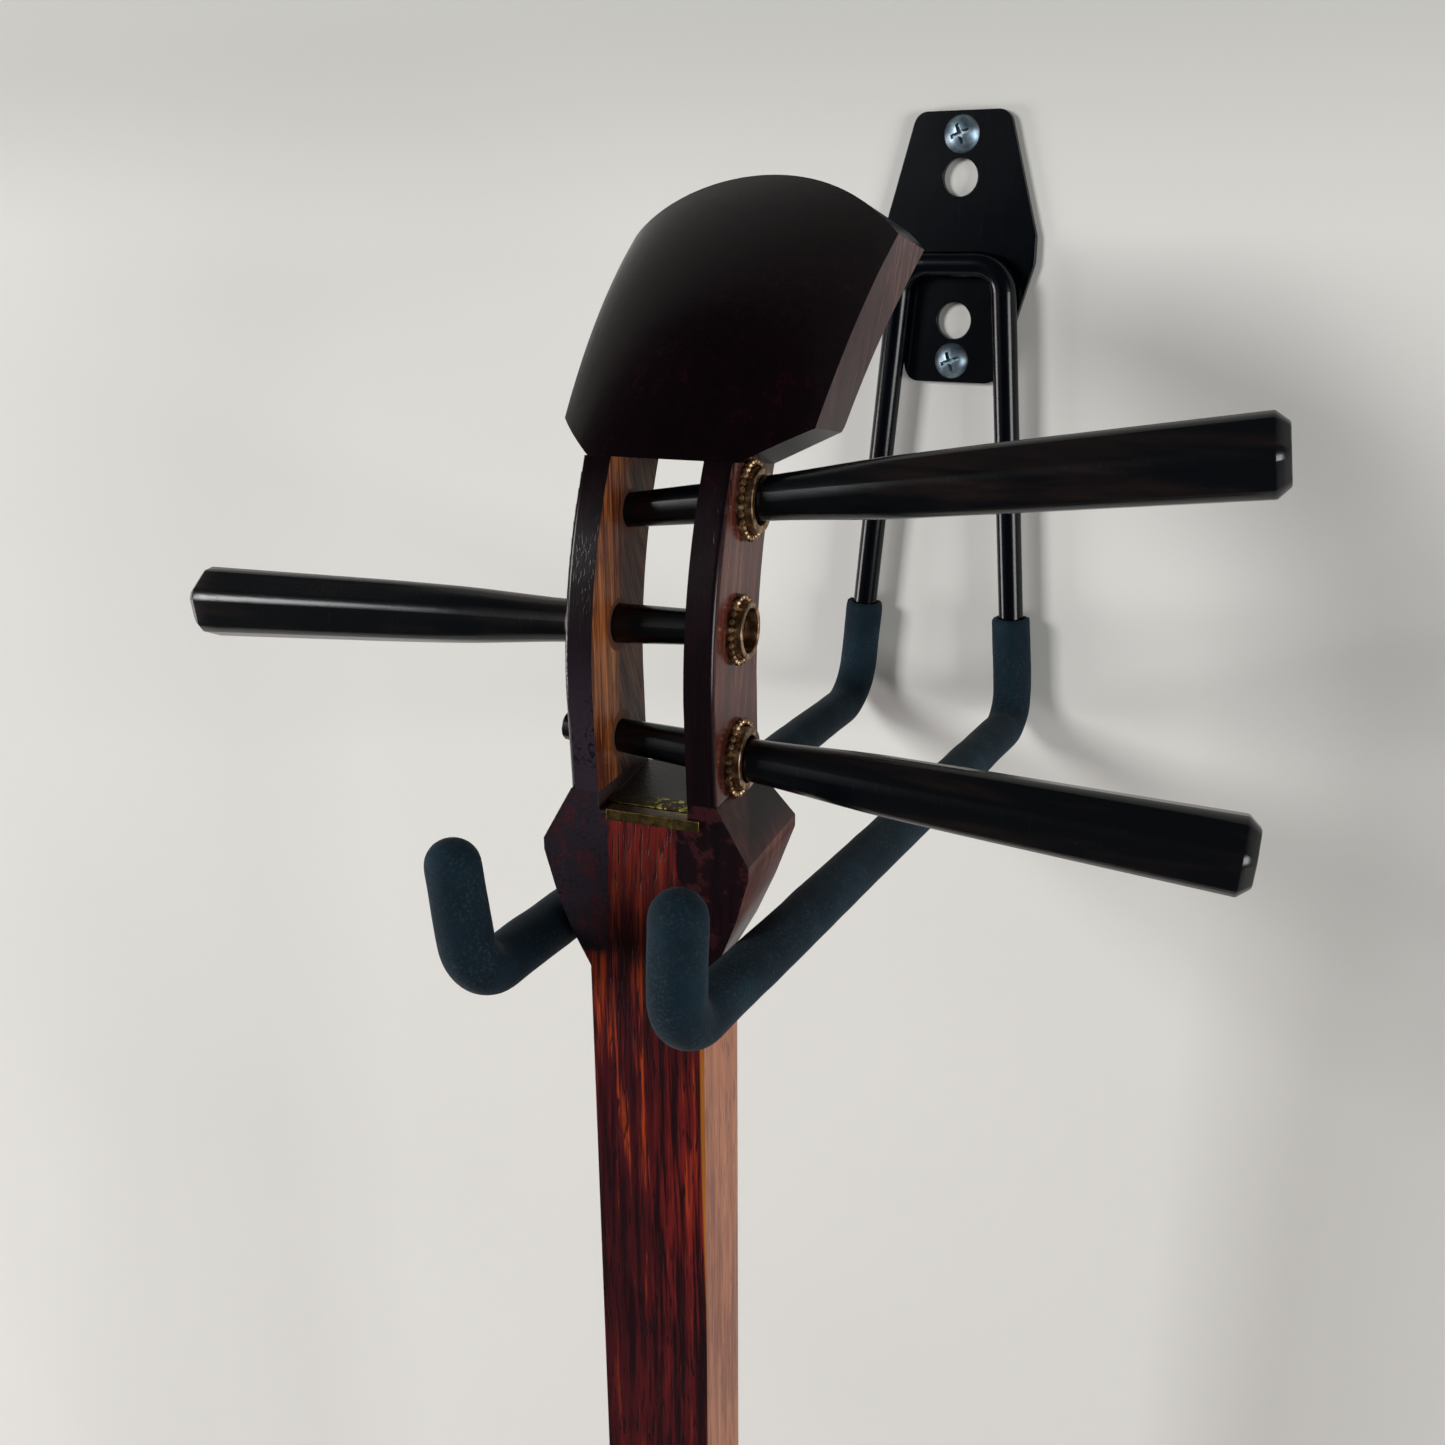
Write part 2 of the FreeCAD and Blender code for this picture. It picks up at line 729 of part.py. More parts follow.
def make_pegbox_head():
    """The pegbox with its two cheeks, and the swept head that stands on it, cut from one piece."""
    body = new_body("pegbox_head", lute_placement())
    low, high = S["head_low_level"].value, S["head_high_level"].value
    levels = [low + (high - low) * step / HEAD_STEPS for step in range(HEAD_STEPS + 1)]
    loft(body, "head", [head_section(body, step, level) for step, level in enumerate(levels)], ruled=False)

    crown = Vector(0, S["crown_back"].value, S["crown_height"].value)
    top = new_sketch(body, "crown", "XZ_Plane", tilted_front_plane(crown))
    reach = S["crown_reach"]
    fall = S["crown_radius"] - root(S["crown_radius"] * S["crown_radius"] - reach * reach)
    draw_outline(top, (-reach, -fall), [
        (-reach, fall * 2),
        (reach, fall * 2),
        (reach, -fall),
        (-reach, -fall, S["crown_radius"], 1),
    ])
    extrude(body, "Pocket", top, S["crown_back"] * 4, centred=True)

    seat = Vector(0, pegbox_front_top().value, S["pegbox_top"].value)
    under = new_sketch(body, "underside", "XZ_Plane", tilted_front_plane(seat))
    box, far = S["pegbox_width"] / 2, S["head_half"] * 2
    rise = S["head_underside"] / S["head_shoulder"] * (far - box)
    draw_outline(under, (-far, -S["pegbox_width"]), [
        (far, -S["pegbox_width"]),
        (far, rise),
        (box, 0),
        (-box, 0),
        (-far, rise),
        (-far, -S["pegbox_width"]),
    ])
    extrude(body, "Pocket", under, S["crown_back"] * 4, centred=True)

    nape = new_sketch(body, "nape", "YZ_Plane")
    neck_back, nape_back = pegbox_back_top(), swept_depth("back", S["nape_height"])
    low, clear = S["pegbox_back_top"] - S["nape_clearing"], nape_back + S["nape_clearing"]
    draw_outline(nape, (neck_back, low), [
        (clear, low),
        (clear, S["nape_height"]),
        (nape_back, S["nape_height"]),
        (neck_back, S["pegbox_back_top"]),
        (neck_back, low),
    ])
    extrude(body, "Pocket", nape, S["head_half"] * 4, centred=True)

    side = new_sketch(body, "side", "YZ_Plane")
    lip, waist = -S["pegbox_lip"], S["pegbox_waist"]
    back_waist = pegbox_back_top() - sweep_depth(S["pegbox_back_sweep"], S["pegbox_back_top"] - waist)
    draw_outline(side, (0, S["flare_top"]), [
        (S["pegbox_depth"], S["flare_top"]),
        (back_waist, waist),
        (pegbox_back_top(), S["pegbox_back_top"], S["pegbox_back_sweep"], -1),
        (pegbox_front_top(), S["pegbox_top"]),
        (lip, waist, S["pegbox_sweep"], 1),
        (0, S["flare_top"]),
    ])
    pegbox = extrude(body, "Pad", side, S["pegbox_width"], centred=True)

    def front_corner(edge):
        at_side = abs(abs(edge.CenterOfMass.x) - box.value) < 0.01
        return at_side and edge.Length > 5 and edge.BoundBox.YMax < pegbox_front_top().value + 0.5

    round_edges(body, pegbox, S["cheek_round"], front_corner)

    slot = new_sketch(body, "slot", "YZ_Plane")
    fall = tangent(S["end_slope"])
    front, back = -S["pegbox_depth"], S["pegbox_depth"] * 3
    ceiling = S["pegbox_top"] + fall * pegbox_front_top()
    draw_outline(slot, (front, S["flare_top"] - 1), [
        (back, S["flare_top"] - 1),
        (back, ceiling - fall * back),
        (front, ceiling - fall * front),
        (front, S["flare_top"] - 1),
    ])
    extrude(body, "Pocket", slot, S["slot_width"], centred=True)
    for peg in PEGS:
        for grip in (True, False):
            bushing_seat(body, peg, grip)
    ring_seat(body, TOP_PEG)


def sweep_depth(radius, height):
    """How far an arc that starts upright has moved sideways at a height."""
    return radius - root(radius * radius - height * height)


def pegbox_front_top():
    """Depth of the cheeks' front edge where they meet the head."""
    return sweep_depth(S["pegbox_sweep"], S["pegbox_top"] - S["pegbox_waist"]) - S["pegbox_lip"]


def pegbox_back_top():
    """Depth of the cheeks' back edge where they meet the head."""
    run = (S["pegbox_top"] - S["pegbox_back_top"]) / tangent(S["end_slope"])
    return pegbox_front_top() + run


# ---------------------------------------------------------------- nut, slot plate

def nut_box(body, kind, name):
    """The nut's own box, or its seat across the mouth of the slot."""
    block(body, kind, name, (-S["nut_left"], -S["nut_proud"], 0),
          (S["nut_left"] + S["nut_right"], S["nut_depth"], S["nut_height"]))


def make_nut():
    """The brass bar that the strings cross."""
    body = new_body("nut", lute_placement())
    nut_box(body, "Additive", "bar")


def make_slot_plate():
    """The brass strip across the sloping floor of the slot."""
    tilt = Rotation(X_AXIS, S["slot_floor_slope"].value)
    inset = S["slot_plate_inset"].value
    rise = inset * math.tan(math.radians(S["slot_floor_slope"].value))
    corner = Vector(-S["slot_width"].value / 2, inset, S["slot_floor"].value + rise)
    strip = DOC.addObject("Part::Box", "slot_plate")
    strip.Label = "slot_plate"
    strip.setExpression("Length", S["slot_width"].text)
    strip.setExpression("Width", S["slot_plate_depth"].text)
    strip.setExpression("Height", S["slot_plate_thickness"].text)
    strip.Placement = lute_placement() * Placement(corner, tilt)


# ---------------------------------------------------------------- pegs and bushings

def peg_radius(reach):
    """Radius of a peg's plain shaft at a distance along it from the middle of the pegbox."""
    return S["peg_tip_radius"] + S["peg_taper"] * (Size.of(reach) + S["pegbox_width"] / 2)


def peg_frame(peg):
    """The peg's placement in the lute: its X axis runs from the tip to the handle."""
    turn = Rotation(Z_AXIS, 0 if peg.side > 0 else 180)
    lean = Rotation(Y_AXIS, -peg.tilt.value)
    half = S["pegbox_width"].value / 2
    crossing = Placement(Vector(peg.side * half, peg.depth.value, peg.height.value), turn * lean)
    return crossing * Placement(Vector(-half, 0, 0), Rotation(X_AXIS, peg.roll.value))


def facet_section(body, name, reach, flat, bevel):
    """A hexagon across the handle whose six ridges are cut by narrow bevels."""
    half_side = (bevel - flat * math.cos(math.pi / 6)) / math.sin(math.pi / 6)
    sketch = new_sketch(body, name, "YZ_Plane")
    sketch.setExpression(".AttachmentOffset.Base.z", Size.of(reach).text)
    corners = []
    for number in range(6):
        angle = number * math.pi / 3
        across, up = math.cos(angle), math.sin(angle)
        for end in (-1, 1):
            corners.append((flat * across - half_side * (end * up), flat * up + half_side * (end * across)))
    draw_outline(sketch, corners[0], corners[1:] + corners[:1])
    return sketch


def make_peg(peg):
    """A tapered shaft that swells into a long six-sided handle with a chamfered end."""
    body = new_body(f"peg_{peg.name}", lute_placement() * peg_frame(peg))
    tip = -(S["pegbox_width"] / 2 + peg.through)
    swell, facets = S["peg_swell_start"], S["peg_facet_start"]
    shaft = new_sketch(body, "shaft", "XZ_Plane")
    draw_outline(shaft, (tip, 0), [
        (facets, 0),
        (facets, S["peg_facet_radius"]),
        (swell, peg_radius(swell)),
        (tip, peg_radius(tip)),
        (tip, 0),
    ])
    revolve(body, shaft)
    end, chamfer = peg.reach, S["peg_chamfer"]
    loft(body, "handle", [
        facet_section(body, "start", facets, S["peg_facet_radius"], S["peg_facet_radius"]),
        facet_section(body, "middle", S["peg_middle"], S["peg_middle_flat"], S["peg_middle_bevel"]),
        facet_section(body, "shoulder", end - S["peg_chamfer_length"], S["peg_end_flat"],
                      S["peg_end_bevel"]),
        facet_section(body, "end", end, S["peg_end_flat"] - chamfer, S["peg_end_bevel"] - chamfer),
    ])


def bushing_frame(peg, grip):
    """A bushing's placement in the lute: its X axis points out of the cheek that it sits in."""
    out = peg.side if grip else -peg.side
    half = S["pegbox_width"].value / 2
    rise = 0 if grip else -2 * half * math.tan(math.radians(peg.tilt.value))
    centre = Vector(out * half, peg.depth.value, peg.height.value + rise)
    return Placement(centre, Rotation(Z_AXIS, 0 if out > 0 else 180))


def cheek_wall():
    """Thickness of one cheek of the pegbox."""
    return (S["pegbox_width"] - S["slot_width"]) / 2


def bushing_seat(body, peg, grip):
    """The hole through a cheek that a bushing's tube fills."""
    hole = body.newObject("PartDesign::SubtractiveCylinder",
                          f"seat_{peg.name}_{'grip' if grip else 'tip'}")
    hole.setExpression("Radius", S["grip_tube_radius" if grip else "tip_tube_radius"].text)
    hole.setExpression("Height", (cheek_wall() + 2).text)
    inner = Placement(Vector(-cheek_wall().value - 1, 0, 0), Rotation(Y_AXIS, 90))
    hole.Placement = bushing_frame(peg, grip) * inner


def ring_seat(body, peg):
    """The shallow round seat for a handle-side ring where it runs past the cheek's own face."""
    seat = body.newObject("PartDesign::SubtractiveCylinder", f"{body.Name}_ring_{peg.name}")
    seat.setExpression("Radius", S["grip_ring_radius"].text)
    seat.setExpression("Height", (S["bushing_ring_height"] * 2).text)
    seat.Placement = bushing_frame(peg, True) * Placement(Vector(), Rotation(Y_AXIS, 90))


def make_bushing(peg, grip):
    """A brass bushing: the tube in the cheek, the ring on its face and the raised collar."""
    kind = "grip" if grip else "tip"
    body = new_body(f"bushing_{peg.name}_{kind}", lute_placement() * bushing_frame(peg, grip))
    outline = new_sketch(body, "profile", "XZ_Plane")
    wall = cheek_wall()
    tube_radius, ring = S[f"{kind}_tube_radius"], S[f"{kind}_ring_radius"]
    collar, mouth = S[f"{kind}_collar_radius"], S[f"{kind}_mouth_radius"]
    ring_height, collar_height = S["bushing_ring_height"], S["bushing_collar_height"]
    draw_outline(outline, (-wall, 0), [
        (S["bushing_floor"], 0),
        (S["bushing_floor"], mouth),
        (collar_height, mouth),
        (collar_height, collar),
        (ring_height, collar),
        (ring_height, ring),
        (0, ring),
        (0, tube_radius),
        (-wall, tube_radius),
        (-wall, 0),
    ])
    revolve(body, outline)
    half, margin = S["pegbox_width"] / 2, 2
    bore = body.newObject("PartDesign::SubtractiveCone", f"{body.Name}_bore")
    start, stop = -(wall + margin), S["bushing_floor"] + margin
    toward = 1 if grip else -1
    near, far = half + start, half + stop
    bore.setExpression("Radius1", (peg_radius(near * toward) + S["peg_play"]).text)
    bore.setExpression("Radius2", (peg_radius(far * toward) + S["peg_play"]).text)
    bore.setExpression("Height", (stop - start).text)
    lean = Rotation(Y_AXIS, -peg.tilt.value * toward)
    bore.Placement = Placement(Vector(), lean) * Placement(Vector(start.value, 0, 0), Rotation(Y_AXIS, 90))


# ---------------------------------------------------------------- sound box

def box_centre():
    """Height of the sound box's middle above the nut."""
    return -(S["neck_length"] + S["box_half_height"] + S["box_end_bulge"])


def bow_radius(half, bulge):
    """Radius of an arc from its half chord and its bulge."""
    return (half * half + bulge * bulge) / (bulge * 2)


def make_board(name, quarter_turns):
    """One mitred board of the sound box, with a bowed outside and a flat inside."""
    upright = quarter_turns % 2 == 1
    half = S["box_half_height" if upright else "box_half_width"]
    distance = S["box_half_width" if upright else "box_half_height"]
    bulge = S["box_side_bulge" if upright else "box_end_bulge"]
    wall = S["board_wall"]
    front = S["box_front"] + S["skin_thickness"]
    local = Placement(Vector(0, front.value, box_centre().value), Rotation(Y_AXIS, 90 * quarter_turns))
    body = new_body(name, lute_placement() * local)
    sketch = new_sketch(body, "outline", "XZ_Plane")
    draw_outline(sketch, (-half, distance), [
        (-(half - wall), distance - wall),
        (half - wall, distance - wall),
        (half, distance),
        (-half, distance, bow_radius(half, bulge), 1),
    ])
    extrude(body, "Pad", sketch, S["box_depth"], backwards=True)
    if not upright:
        across = -S["spine_width"] / 2
        block(body, "Subtractive", "spine_hole",
              (across, S["spine_front"] - front, distance - wall - 1),
              (S["spine_width"], S["spine_depth"], wall + bulge + 2))


def box_outline(sketch, grow):
    """The sound box's bowed outline, grown by a skin's thickness."""
    half, height = S["box_half_width"] + grow, S["box_half_height"] + grow
    end_bow, side_bow = bow_radius(half, S["box_end_bulge"]), bow_radius(height, S["box_side_bulge"])
    draw_outline(sketch, (-half, -height), [
        (half, -height, end_bow, 1),
        (half, height, side_bow, 1),
        (-half, height, end_bow, 1),
        (-half, -height, side_bow, 1),
    ])


def make_skin(name, at_front):
    """A skin stretched over one side of the sound box, wrapped a little way down its boards."""
    outside = S["box_front"] if at_front else S["box_front"] + S["box_depth"] + S["skin_thickness"] * 2
    local = Placement(Vector(0, outside.value, box_centre().value),
                      Rotation(Z_AXIS, 0 if at_front else 180))
    body = new_body(name, lute_placement() * local)
    cover = new_sketch(body, "cover", "XZ_Plane")
    box_outline(cover, S["skin_thickness"])
    extrude(body, "Pad", cover, S["skin_thickness"] + S["skin_wrap"], backwards=True)
    seat = new_sketch(body, "seat", "XZ_Plane")
    seat.setExpression(".AttachmentOffset.Base.z", (-S["skin_thickness"]).text)
    box_outline(seat, Size.of(0))
    extrude(body, "Pocket", seat, S["skin_wrap"])
    if at_front:
        tall = S["box_half_height"] + S["box_end_bulge"] + S["skin_thickness"]
        notch = S["breast_drop"] - S["box_front"] - S["skin_thickness"]
        block(body, "Subtractive", "neck_notch", (-S["neck_width"] / 2, notch, -tall),
              (S["neck_width"], S["skin_wrap"], tall * 2))


# ---------------------------------------------------------------- build and write

def make_model():
    """Make every node of the model."""
    make_wall_plate()
    make_wall_screw("wall_screw_top", 1)
    make_wall_screw("wall_screw_bottom", -1)
    make_hanger_rod()
    make_foam_sleeve("foam_sleeve_left", -1)
    make_foam_sleeve("foam_sleeve_right", 1)
    make_pegbox_head()
    make_upper_neck()
    make_middle_neck()
    make_lower_neck()
    make_nut()
    make_slot_plate()
    for peg in PEGS:
        make_peg(peg)
        make_bushing(peg, True)
        make_bushing(peg, False)
    for turns, name in enumerate(("top_board", "right_board", "bottom_board", "left_board")):
        make_board(name, turns)
    make_skin("front_skin", True)
    make_skin("back_skin", False)


def nodes():
    """The objects that are written, one file for each."""
    kinds = ("PartDesign::Body", "Part::Feature", "Part::Box")
    return [item for item in DOC.Objects if item.TypeId in kinds]


def check_model():
    """Stop if any object failed or any node is not one valid solid."""
    for item in DOC.Objects:
        if "Invalid" in item.State or "Error" in item.State:
            raise ValueError(f"{item.Label} did not compute: {item.State}")
    for item in nodes():
        shape = item.Shape
        if shape.isNull() or not shape.isValid() or len(shape.Solids) != 1:
            raise ValueError(f"{item.Label} is not one valid solid")


def write_nodes():
    """Write every node to its own STEP file."""
    os.makedirs("parts", exist_ok=True)
    for item in nodes():
        item.Shape.exportStep(os.path.join("parts", f"{item.Label}.step"))
        print(f"{item.Label}: {item.Shape.Volume:.1f} mm3")


make_model()
DOC.recompute()
check_model()
write_nodes()
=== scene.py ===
"""Dresses a long-necked lute that hangs by its head from a padded wall hanger.

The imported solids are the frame.  This script puts softer-edged copies, redrawn pegs, beaded bushings and
soft sleeves in the place of the crisp solids, gives each its finish, and sets the wall, lamps and camera.
Everything is in metres, in the frame's own axes: +X right, +Y into the wall, +Z up.
"""
import json
import logging
import math
from dataclasses import dataclass, field, replace
from enum import Enum
from functools import reduce
from typing import Any, Callable

import bmesh
import bpy
from mathutils import Matrix, Vector, noise


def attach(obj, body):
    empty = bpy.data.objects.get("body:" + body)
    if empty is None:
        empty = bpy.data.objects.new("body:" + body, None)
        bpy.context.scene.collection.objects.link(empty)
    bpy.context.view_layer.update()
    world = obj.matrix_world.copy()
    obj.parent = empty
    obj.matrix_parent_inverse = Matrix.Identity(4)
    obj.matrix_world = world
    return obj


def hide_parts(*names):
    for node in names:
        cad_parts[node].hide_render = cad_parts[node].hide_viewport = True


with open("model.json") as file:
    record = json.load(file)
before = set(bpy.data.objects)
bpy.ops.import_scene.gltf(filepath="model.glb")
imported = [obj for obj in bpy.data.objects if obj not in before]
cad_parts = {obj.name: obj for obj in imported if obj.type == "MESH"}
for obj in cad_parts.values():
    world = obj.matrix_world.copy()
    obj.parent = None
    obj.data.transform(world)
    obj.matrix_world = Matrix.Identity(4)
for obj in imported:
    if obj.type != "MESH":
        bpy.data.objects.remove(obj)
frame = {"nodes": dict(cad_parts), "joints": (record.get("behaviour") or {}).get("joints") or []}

LOG = logging.getLogger("lute")
MM = 0.001
SHARP = math.radians(28)
CREASE = 35.0
EASED_CREASE = 40.0
WELD = 0.001 * MM
FLAT_WITHIN = math.radians(0.4)
JOINT_PLAY = 0.02 * MM
SLOT_HALF = 9.55 * MM
Colour = tuple[float, float, float]
Place = tuple[float, float, float]
Socket = bpy.types.NodeSocket
Piece, Material = bpy.types.Object, bpy.types.Material
Mesh, Edge, Vert = bmesh.types.BMesh, bmesh.types.BMEdge, bmesh.types.BMVert


class Body(Enum):
    """The bodies that pieces ride on."""

    HANGER = "hanger"
    LUTE = "lute"
    TOP_PEG = "top_peg"
    MIDDLE_PEG = "middle_peg"
    BOTTOM_PEG = "bottom_peg"


@dataclass(frozen=True)
class LutePlace:
    """Where the lute's own frame lies: its origin is the middle of the nut, on the neck's front."""

    side: float = 1.0 * MM
    stand_off: float = 183.0 * MM
    drop: float = 104.3 * MM
    yaw: float = math.radians(6.3)

    @property
    def origin(self) -> Vector:
        """The nut's middle in the frame's axes."""
        return Vector((self.side, -self.stand_off, -self.drop))

    @property
    def across(self) -> Vector:
        """The lute's own +X axis."""
        return Vector((math.cos(self.yaw), math.sin(self.yaw), 0))

    @property
    def backward(self) -> Vector:
        """The lute's own +Y axis, from its front to its back."""
        return Vector((-math.sin(self.yaw), math.cos(self.yaw), 0))


PLACE = LutePlace()


def linear(red: float, green: float, blue: float) -> tuple[float, float, float, float]:
    """Turn a colour as seen on a screen, 0 to 255, into the shader's linear values.

    Args:
        red: screen red.
        green: screen green.
        blue: screen blue.

    Returns:
        Linear red, green, blue and an alpha of 1.
    """
    def channel(value: float) -> float:
        """One channel."""
        share = value / 255
        return share / 12.92 if share <= 0.04045 else ((share + 0.055) / 1.055) ** 2.4

    return channel(red), channel(green), channel(blue), 1.0


def tone(colour: Any) -> Any:
    """A screen colour as linear values, and an output as it is."""
    return linear(*colour) if isinstance(colour, tuple) else colour


def smooth(share: float) -> float:
    """Ease a share of 0 to 1 in and out."""
    return share * share * (3 - 2 * share)


# -------------------- node trees

class Tree:
    """Adds and links nodes in one shader or group tree."""

    def __init__(self, tree: bpy.types.NodeTree) -> None:
        """Start on a tree."""
        self.tree = tree

    def node(self, kind: str, values: dict[Any, Any] | None = None, **settings: Any) -> bpy.types.Node:
        """Add a node.

        Args:
            kind: the node's type, without its ShaderNode prefix.
            values: what each input gets: a number, colour or vector, or an output to link to it.
            settings: the node's own properties.

        Returns:
            The new node.
        """
        node = self.tree.nodes.new("ShaderNode" + kind)
        for name, setting in settings.items():
            setattr(node, name, setting)
        for key, value in (values or {}).items():
            if isinstance(value, Socket):
                self.tree.links.new(value, node.inputs[key])
            else:
                node.inputs[key].default_value = value
        return node

    def group(self, group: bpy.types.NodeTree, **values: Any) -> bpy.types.Node:
        """Add a node group with its inputs."""
        return self.node("Group", values, node_tree=group)

    def calc(self, operation: str, *terms: Any, clamp: bool = False) -> Socket:
        """Add a Math node of that operation, its result held to 0 to 1 where asked."""
        return self.node("Math", dict(enumerate(terms)), operation=operation, use_clamp=clamp).outputs[0]

    def times(self, *terms: Any) -> Socket:
        """Multiply two or more values."""
        return reduce(lambda product, term: self.calc("MULTIPLY", product, term), terms)

    def plus(self, first: Any, second: Any) -> Socket:
        """Add two values."""
        return self.calc("ADD", first, second)

    def minus(self, first: Any, second: Any) -> Socket:
        """Take the second value from the first."""
        return self.calc("SUBTRACT", first, second)

    def step(self, value: Any, low: float, high: float) -> Socket:
        """Rise smoothly from 0 at low to 1 at high, or fall where low is above high.

        Args:
            value: what is compared.
            low: where the result is 0.
            high: where the result is 1.

        Returns:
            A mask.
        """
        first, last = (0.0, 1.0) if low < high else (1.0, 0.0)
        inputs = {"Value": value, "From Min": min(low, high), "From Max": max(low, high),
                  "To Min": first, "To Max": last}
        return self.node("MapRange", inputs, interpolation_type="SMOOTHSTEP").outputs[0]

    def blend(self, share: Any, first: Any, second: Any) -> Socket:
        """Mix two colours, screen colours or outputs, by the share of the second."""
        return self.node("Mix", {0: share, 6: tone(first), 7: tone(second)}, data_type="RGBA").outputs[2]

    def ramp(self, share: Any, *stops: tuple[float, Colour]) -> Socket:
        """Run through several colours.

        Args:
            share: the place along the ramp.
            stops: a place and a screen colour each.

        Returns:
            The colour.
        """
        node = self.node("ValToRGB", {0: share})
        elements = node.color_ramp.elements
        while len(elements) < len(stops):
            elements.new(0.5)
        for element, (place, colour) in zip(elements, stops):
            element.position = place
            element.color = tone(colour)
        return node.outputs[0]

    def noise(self, vector: Any, scale: Any, detail: float = 3.0, **values: float) -> Socket:
        """Sample noise, about 0.5, where detail is its octaves and values are its other inputs."""
        named = {name.capitalize(): value for name, value in values.items()}
        return self.node("TexNoise", {"Vector": vector, "Scale": scale, "Detail": detail, **named}).outputs[0]

    def stretch(self, vector: Any, x: float = 1.0, z: float = 1.0) -> Socket:
        """Scale a vector, so that a small factor draws a pattern out along that axis."""
        return self.node("Mapping", {"Vector": vector, "Scale": (x, 1.0, z)}).outputs[0]

    def turned(self, vector: Any, x: float = 0.0, y: float = 0.0) -> Socket:
        """Turn a vector about X or Y."""
        return self.node("Mapping", {"Vector": vector, "Rotation": (x, y, 0.0)}).outputs[0]

    def parts(self, vector: Any) -> tuple[Socket, Socket, Socket]:
        """Split a vector into its X, Y and Z."""
        return tuple(self.node("SeparateXYZ", {0: vector}).outputs)


def effect(name: str, inputs: dict[str, Any], outputs: dict[str, str],
           fill: Callable[[Tree, dict[str, Any]], dict[str, Any]]) -> bpy.types.NodeTree:
    """Build a node group once.

    Args:
        name: the group's name.
        inputs: each input's name and its default: a number, a colour or a vector.
        outputs: each output's name and socket type.
        fill: adds the nodes, and gives back what each output gets.

    Returns:
        The group.
    """
    group = bpy.data.node_groups.new(name, "ShaderNodeTree")
    for label, default in inputs.items():
        kind = "Float" if isinstance(default, float) else "Vector" if len(default) == 3 else "Color"
        socket = group.interface.new_socket(name=label, in_out="INPUT", socket_type="NodeSocket" + kind)
        socket.default_value = default
    for label, kind in outputs.items():
        group.interface.new_socket(name=label, in_out="OUTPUT", socket_type="NodeSocket" + kind)
    start, end = group.nodes.new("NodeGroupInput"), group.nodes.new("NodeGroupOutput")
    results = fill(Tree(group), {label: start.outputs[label] for label in inputs})
    for label, result in results.items():
        group.links.new(result, end.inputs[label])
    return group


NO_VECTOR = (0.0, 0.0, 0.0)
GREY = (0.5, 0.5, 0.5, 1.0)


def fill_grain(tree: Tree, given: dict[str, Any]) -> dict[str, Any]:
    """Streaks and short pores that run along Z, as in a dense striped hardwood.

    Args:
        tree: the group's tree.
        given: its inputs.

    Returns:
        The colour and a height.
    """
    place = given["Vector"]
    swirl = tree.noise(tree.stretch(place, z=0.2), 45.0, 2.0)
    shift = tree.node("CombineXYZ", {0: tree.times(tree.minus(swirl, 0.5), 5 * MM)}).outputs[0]
    bent = tree.node("VectorMath", {0: place, 1: shift}, operation="ADD").outputs[0]
    broad = tree.noise(tree.stretch(bent, z=0.045), 420.0, 3.0, roughness=0.62)
    fine = tree.noise(tree.stretch(bent, z=0.035), 1500.0, 3.0, roughness=0.65)
    patch = tree.noise(tree.stretch(place, z=0.6), 42.0, 2.0)
    mixed = tree.plus(tree.times(broad, 0.55), tree.times(fine, 0.30))
    mixed = tree.plus(mixed, tree.times(tree.minus(patch, 0.5), 0.28))
    gain = tree.calc("MULTIPLY_ADD", tree.minus(mixed, 0.425), given["Contrast"], 0.5, clamp=True)
    colour = tree.blend(tree.step(gain, 0.20, 0.62), given["Dark"], given["Middle"])
    colour = tree.blend(tree.step(gain, 0.62, 1.0), colour, given["Light"])
    spots = tree.noise(tree.stretch(bent, z=0.09), 1500.0, 1.0)
    gaps = tree.noise(tree.stretch(place, z=0.3), 120.0, 1.0)
    pores = tree.times(tree.step(spots, 0.57, 0.62), tree.step(gaps, 0.36, 0.50))
    pores = tree.calc("MULTIPLY", pores, given["Pores"], clamp=True)
    colour = tree.blend(tree.times(pores, 0.8), colour, given["Dark"])
    return {"Color": colour, "Height": tree.minus(tree.times(fine, 0.25), pores)}


def fill_wear(tree: Tree, given: dict[str, Any]) -> dict[str, Any]:
    """Fine rubbed marks and dust that lift the roughness here and there.

    Args:
        tree: the group's tree.
        given: its inputs.

    Returns:
        A roughness and a dust mask.
    """
    cloud = tree.noise(given["Vector"], 42.0, 4.0, roughness=0.6)
    hair = tree.noise(tree.stretch(given["Vector"], z=0.05), 1400.0, 1.0)
    marks = tree.times(tree.step(hair, 0.60, 0.78), given["Amount"])
    spread = tree.times(tree.minus(cloud, 0.5), given["Spread"])
    rough = tree.plus(given["Roughness"], spread)
    rough = tree.calc("ADD", rough, tree.times(marks, 0.10), clamp=True)
    return {"Roughness": rough, "Dust": tree.times(tree.step(cloud, 0.52, 0.80), given["Amount"])}


def fill_pits(tree: Tree, given: dict[str, Any]) -> dict[str, Any]:
    """Small pits and specks, in clusters, in an old lacquer or a foam's skin.

    Args:
        tree: the group's tree.
        given: its inputs.

    Returns:
        A speck mask and a height.
    """
    grains = tree.noise(given["Vector"], given["Scale"], 2.0, roughness=0.7)
    clouds = tree.noise(given["Vector"], tree.calc("DIVIDE", given["Scale"], 14.0), 2.0)
    specks = tree.times(tree.step(grains, 0.50, 0.66), tree.step(clouds, 0.34, 0.62))
    return {"Specks": specks, "Height": grains}


